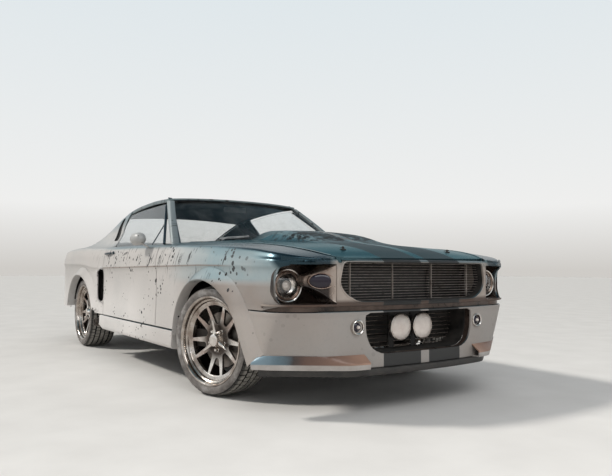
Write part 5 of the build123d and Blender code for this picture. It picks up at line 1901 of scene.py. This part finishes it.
def make_door_insides():
    rings = []
    for x in steps(DOOR_REAR_X + 4, 520, 60):
        y, belt = side_y(x), side_run(x)[-1]
        crease = crease_z(x)
        ring = [
            (y - 22, 357), (y - 26, 600), (y - 18, crease), (y - 32, crease + 100),
            (belt[0] - 12, belt[1] - 9), (y - 96, belt[1] - 4), (y - 103, belt[1] - 12), (y - 104, 640),
            (y - 104, 380), (y - 98, 372), (y - 74, 357),
        ]
        rings.append([(x, py, pz) for py, pz in ring])
    rest = [(x, side_y(x) - 110, 640 + 10 * math.sin(x / 130)) for x in steps(-280, 180, 40)]
    pull = []
    for t in range(13):
        pull.append((-360 - 14 * t, side_y(-400) - 6 + 7 * math.sin(math.pi * t / 12), 866 - t * 0.2))
    grip = strip("door_handle", pull, 11, 17, (0, 1, 0), 0.9)
    barrel = [(-4, 0), (-4, 13), (5, 13), (7, 11), (7, 6), (5, 5), (5, 0)]
    lock = lathe("door_lock", barrel, 28, centre=(-318, side_y(-318) - 12, 868))
    parts = [
        (loft("door_card", rings), trim_cloth),
        (strip("arm_rest", rest, 14, 46, (0, 1, 0), 0.9), leather),
        (joined("handle", [grip, lock]), seal),
    ]
    for side in ("left", "right"):
        for mesh, finish in parts:
            name = f"{mesh.name}_{side}"
            shape = mesh.copy() if side == "left" else mirrored(mesh, name)
            shape.name = name
            piece(shape, finish, f"door_{side}")


leather = mottled(
    "black_leather", [(0.010, 0.010, 0.010), (0.030, 0.028, 0.026)], 24.0, (0.35, 0.6), relief=0.35,
    depth=0.002)
trim_cloth = mottled(
    "dark_cloth", [(0.005, 0.005, 0.005), (0.015, 0.014, 0.013)], 60.0, (0.8, 0.95), relief=0.3)
make_door_insides()

# The tail: a lid with a ducktail lip, a flat tail panel with three upright lamps a side, a dark bar and a
# valance. Below the doors a deep moulded skirt each side, that the exhaust leaves through at its rear end.
duck_tail = along([(-2340, 34), (-2312, 31), (-2240, 12), (-2160, 0), (-1795, 0)])


def lid_run(x):
    half = rail_y(x) - 15
    low = rail_z(x) + (roof_z(x) - rail_z(x)) * 0.04
    return [(y, z + duck_tail(x) * min(1, (half + 4 - abs(y)) / 40) if z > low - 2 else z)
            for y, z in across(half, low, roof_z(x), 48, 24)]


def make_trunk_lid():
    columns = steps(-1796, -2312, 18)
    rows = rows_of(lid_run(-2000))
    mesh = panel_mesh("trunk_lid_skin", columns, rows, surface_along_x(lid_run), (), (0, 0, 1))
    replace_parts(piece(mesh, striped_paint, "trunk_lid", gauge=16, edge=3), "trunk_lid")


def slab(name, line, x_front, x_back, soft):
    """A flat moulding across the car, outlined in the rear view, with a rolled edge."""
    cy = sum(y for y, _ in line) / len(line)
    cz = sum(z for _, z in line) / len(line)
    wide = max(abs(y - cy) for y, _ in line)
    high = max(abs(z - cz) for _, z in line)
    rings = []
    for x, shrink in ((x_front, 0), (x_back + soft, 0), (x_back + soft * 0.3, soft * 0.3), (x_back, soft)):
        a, b = 1 - shrink / wide, 1 - shrink / high
        rings.append([(x, cy + (y - cy) * a, cz + (z - cz) * b) for y, z in line])
    return loft(name, rings)


def box_line(y, z, wide, high, radius):
    """An upright outline of the rear view about its middle, with rounded corners."""
    a, b = wide / 2, high / 2
    return rounded([(y - a, z - b), (y + a, z - b), (y + a, z + b), (y - a, z + b)], radius)


def make_tail():
    panel = rounded([(-786, 561), (786, 561), (772, 858), (600, 883), (-600, 883), (-772, 858)], 26)
    face = slab("tail_face", panel, -2322.5, -2337.5, 4)
    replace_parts(piece(face, striped_paint), "tail_panel")
    bar = rounded([(-780, 502), (780, 502), (780, 558), (-780, 558)], 20)
    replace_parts(piece(slab("rear_bar", bar, -2322.5, -2330, 3), dark_trim), "rear_valance")
    chin = rounded([(-790, 362), (-560, 301), (560, 301), (790, 362), (788, 498), (-788, 498)], 30)
    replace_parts(piece(slab("rear_chin", chin, -2322.5, -2337.5, 5), paint), "rear_valance")
    lenses, rims = [], []
    for y in (510, 600, 690):
        lenses.append(slab("lens", box_line(y, 755, 58, 120, 12), -2338, -2348, 7))
        rims.append(slab("rim", box_line(y, 755, 68, 130, 14), -2337.8, -2343.5, 2))
    red = lens_finish("red_lens", (0.42, 0.012, 0.010), 0.2, 0.12, 0.35)
    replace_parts(piece(pair(joined("tail_lenses", lenses)), red), "tail_lamps")
    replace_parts(piece(pair(joined("tail_lamp_rims", rims)), chrome), "tail_lamps")


def make_skirts():
    rings = []
    for x in [-640, -632, -600, -560, -540] + steps(-500, 940, 90) + [975, 983, 985]:
        short = 5 if x in (-640, 985) else 0
        low = 228 + 34 * limited((-545 - x) / 95) ** 2 + short
        ring = [
            (838.5, low), (884 - short, low), (896 - short, low + 5), (904 - short, low + 18),
            (905 - short, 262), (901, 300), (902 - short, 336), (899 - short, 344 - short),
            (892, 345.5 - short), (838.5, 345.5 - short),
        ]
        rings.append([(x, y, z) for y, z in ring])
    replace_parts(piece(pair(loft("skirt_moulding", rings)), paint), "side_skirts")


make_trunk_lid()
make_tail()
make_skirts()

# The cabin: two bucket seats and a rear bench in black leather over foam, sewn into channels, with a dark
# headliner, cloth-covered sides and a parcel shelf behind the bench.
FOAM_PRESSURE = 4.0
SWELL_TICKS = 20
SEAM_DEEP = 5
SEAM_HALF = 9
SHELF = [(-1085, 850), (-1100, 858), (-1300, 862), (-1690, 905)]


def foam_mesh(name, size, centre, lean, taper=0.0, cells=14):
    """A crowned cushion: a box whose edges are drawn in, leaned back by an angle in degrees."""
    net = bmesh.new()
    bmesh.ops.create_cube(net, size=2.0)
    bmesh.ops.subdivide_edges(net, edges=net.edges, cuts=cells, use_grid_fill=True)
    turned = Matrix.Rotation(math.radians(lean), 3, "Y")
    for v in net.verts:
        a, b, c = v.co
        r = (abs(a) ** 5 + abs(b) ** 5 + abs(c) ** 5) ** 0.2
        a, b, c = a / r, b / r, c / r
        crown = 1 + 0.10 * (1 - a * a) * (1 - b * b)
        waist = 1 - 0.05 * (1 - c * c) * (1 - min(a * a, b * b))
        spot = Vector((a * size[0] / 2 * waist, b * size[1] / 2 * waist * (1 - taper * max(a, 0) ** 2),
                       c * size[2] / 2 * crown))
        v.co = (turned @ spot + Vector(centre)) * MM
    mesh = bpy.data.meshes.new(name)
    net.to_mesh(mesh)
    net.free()
    return mesh


def swell(thing, cap):
    """The foam under its cover: cloth under pressure, that may move no further than cap, in mm."""
    start = [v.co.copy() for v in thing.data.vertices]
    cloth = thing.modifiers.new("cloth", "CLOTH")
    cloth.settings.quality = 5
    cloth.settings.use_pressure = True
    cloth.settings.uniform_pressure_force = FOAM_PRESSURE
    cloth.settings.effector_weights.gravity = 0.0
    scene = bpy.context.scene
    for tick in range(1, SWELL_TICKS + 1):
        scene.frame_set(tick)
    settle(thing)
    scene.frame_set(1)
    for v, before in zip(thing.data.vertices, start):
        move = v.co - before
        if move.length > cap * MM:
            v.co = before + move * (cap * MM / move.length)


def stuffed(mesh, voxel, cap, channel):
    """The cushion swollen by its foam, then sewn into channels that run front to back."""
    thing = link(bpy.data.objects.new(mesh.name, mesh))
    shape = thing.modifiers.new("remesh", "REMESH")
    shape.mode = "VOXEL"
    shape.voxel_size = voxel * MM
    settle(thing)
    swell(thing, cap)
    finer = thing.modifiers.new("finer", "SUBSURF")
    finer.levels = 1
    settle(thing)
    ys = [v.co.y for v in thing.data.vertices]
    middle, half = (min(ys) + max(ys)) / 2, (max(ys) - min(ys)) / 2
    normals = [v.normal.copy() for v in thing.data.vertices]
    for v, normal in zip(thing.data.vertices, normals):
        off = v.co.y - middle
        if abs(off) < half * 0.68:
            near = abs((off / (channel * MM) + 0.5) % 1 - 0.5) * channel
            v.co -= normal * (SEAM_DEEP * MM) * max(0.0, 1 - near / SEAM_HALF) ** 2
    result = thing.data
    bpy.data.objects.remove(thing)
    return result


def seat_piece(mesh, node_name):
    thing = piece(mesh, leather, crisp=180)
    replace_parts(thing, node_name)


def make_seats():
    cushion = stuffed(foam_mesh("seat_cushion", (440, 430, 120), (-62, 415, 366), -4), 12, 12, 48)
    back = stuffed(foam_mesh("seat_back", (452, 420, 84), (-294, 415, 652), -78, 0.16), 12, 8, 48)
    bench = stuffed(foam_mesh("bench", (250, 1050, 84), (-872, 0, 556), -3), 15, 10, 75)
    rest = stuffed(foam_mesh("bench_back", (300, 1050, 66), (-1004, 0, 690), -76), 15, 6, 75)
    for name, mesh in (("seat_cushion", cushion), ("seat_back", back)):
        seat_piece(mirrored(mesh, f"{name}_right"), "front_seats")
        mesh.name = f"{name}_left"
        seat_piece(mesh, "front_seats")
    seat_piece(bench, "rear_seat")
    seat_piece(rest, "rear_seat")
    rings = []
    for z, grow in ((240.5, 0), (262, 8), (290, 14), (306, 14)):
        line = rounded([(-286, 196 - grow * 0.4), (170, 196 - grow * 0.4), (170, 634 + grow * 0.4),
                        (-286, 634 + grow * 0.4)], 40)
        rings.append([(x, y, z) for x, y in line])
    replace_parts(piece(pair(loft("seat_base", rings)), dark_trim), "front_seats")


def lining_run(x):
    return across(rail_y(x) - 16, rail_z(x) - 15, roof_z(x) - 15, 30)


def cabin_side_run(x):
    return [(y - 16, z) for y, z in sail_run(x)[:-2]]


def shelf_place(s, row):
    i = min(int(s), len(SHELF) - 2)
    x, z = mix(SHELF[i], SHELF[i + 1], s - i)
    return (x, row * 560, z)


def make_trims():
    head_line = along([(-700, 85), (-560, 119), (-300, 161), (0, 178), (300, 161), (560, 119), (700, 85)])
    rows = rows_of(lining_run(0))
    lining = surface_along_x(lining_run)
    mesh = panel_mesh("headliner", steps(-945, 180, 40), rows, lining, [behind(head_line)], (0, 0, -1))
    piece(mesh, trim_cloth, gauge=2)
    inside = outside_of(GLASS_ROOM)
    rows = rows_of(cabin_side_run(-1000))[26:]
    wall = surface_along_x(cabin_side_run)
    mesh = panel_mesh("cabin_side", steps(-578, -1640, 24), rows, wall, [lambda p: inside(p) - 6], (0, -1, 0))
    piece(pair(mesh), trim_cloth)
    mesh = panel_mesh("parcel_shelf", rows_of(SHELF), [-1, 0, 1], shelf_place, (), (0, 0, 1))
    piece(mesh, trim_cloth, gauge=6)


make_seats()
make_trims()

# The small fittings: a rear-view mirror on a stem, two wipers parked at the foot of the windshield, and a
# steel pin with a spring clip through it at each front corner of the hood.
PIN_X = 2112
PIN_Y = 400


def make_cabin_mirror():
    """The rear-view mirror on its stem, under the middle of the windshield's header."""
    stem = strip("mirror_stem", [(104, 0, 1288), (96, 0, 1270), (98, 0, 1250), (104, 0, 1240)], 8, 8)
    back = [(104, -105, 1236), (108, -60, 1238), (109, 0, 1238), (108, 60, 1238), (104, 105, 1236)]
    glass_back = strip("mirror_back", back, 46, 14, (0, 0, 1), 0.9)
    piece(joined("cabin_mirror", [stem, glass_back]), dark_trim)


def make_wipers():
    blades = []
    for low, high in ((-400, -150), (96, 346)):
        arm = [(652, low + 10, 952), glass_point(low + 60, 966, 14), glass_point((low + high) / 2, 972, 12)]
        blades.append(strip("arm", arm, 9, 6, (0, 0, 1)))
        edge = [glass_point(low + (high - low) * t / 8, 958 + 26 * t / 8, 8) for t in range(9)]
        blades.append(strip("blade", edge, 14, 5, (0, 0, 1)))
    wiper = mottled("wiper_grey", [(0.25, 0.25, 0.25), (0.45, 0.45, 0.44)], 14.0, (0.3, 0.5), metal=0.5)
    piece(joined("wipers", blades), wiper)


def make_hood_pins():
    """The pins that hold the hood's front corners, each with its spring clip."""
    profile = [(-6, 0), (-6, 17), (1, 17), (2, 15), (2, 6), (14, 5.5), (15, 4), (15, 0)]
    pins = []
    for y in (PIN_Y, -PIN_Y):
        z = hood_z(PIN_X) - (hood_z(PIN_X) - hood_edge(PIN_X)[1]) * (y / 618) ** 2
        pin = moved(lathe("pin", profile, 20), Matrix.Rotation(math.radians(90), 4, "X"))
        pins.append(moved(pin, Matrix.Translation((PIN_X * MM, y * MM, (z + 1) * MM))))
        wire = [(2092, y - 6, z + 9), (2104, y + 2, z + 10), (2122, y, z + 10), (2136, y - 8, z + 6)]
        pins.append(strip("clip", wire, 3, 3, (0, 0, 1), 0.9))
    piece(joined("hood_pins", pins), dark_cast, "hood")


make_cabin_mirror()
make_wipers()
make_hood_pins()

# The pieces that are shown with their own shapes: engine, running gear, floor and the parts behind the
# panels. They are cast iron and pressed steel, under a coat of tar, old grease or soot.
undercoat = mottled(
    "undercoat", [(0.012, 0.012, 0.012), (0.055, 0.048, 0.042)], 6.0, (0.6, 0.95), relief=0.4, depth=0.003)
greasy = mottled(
    "greasy_iron", [(0.020, 0.018, 0.016), (0.085, 0.070, 0.060)], 11.0, (0.35, 0.8), metal=0.5, relief=0.4)
sooty = mottled(
    "sooty_steel", [(0.06, 0.05, 0.045), (0.28, 0.24, 0.21)], 13.0, (0.3, 0.65), metal=0.9, relief=0.2)
dress("floor_pan hinge_posts fuel_tank", undercoat)
dress("engine driveline front_suspension rear_axle knuckle_left knuckle_right", greasy)
dress("exhaust steering_column", sooty)
dress("radiator", dark_trim)
dress("bumper_bar", dark_wall)
dress("dashboard steering_wheel", leather)
dress("cowl deck_panel", paint)
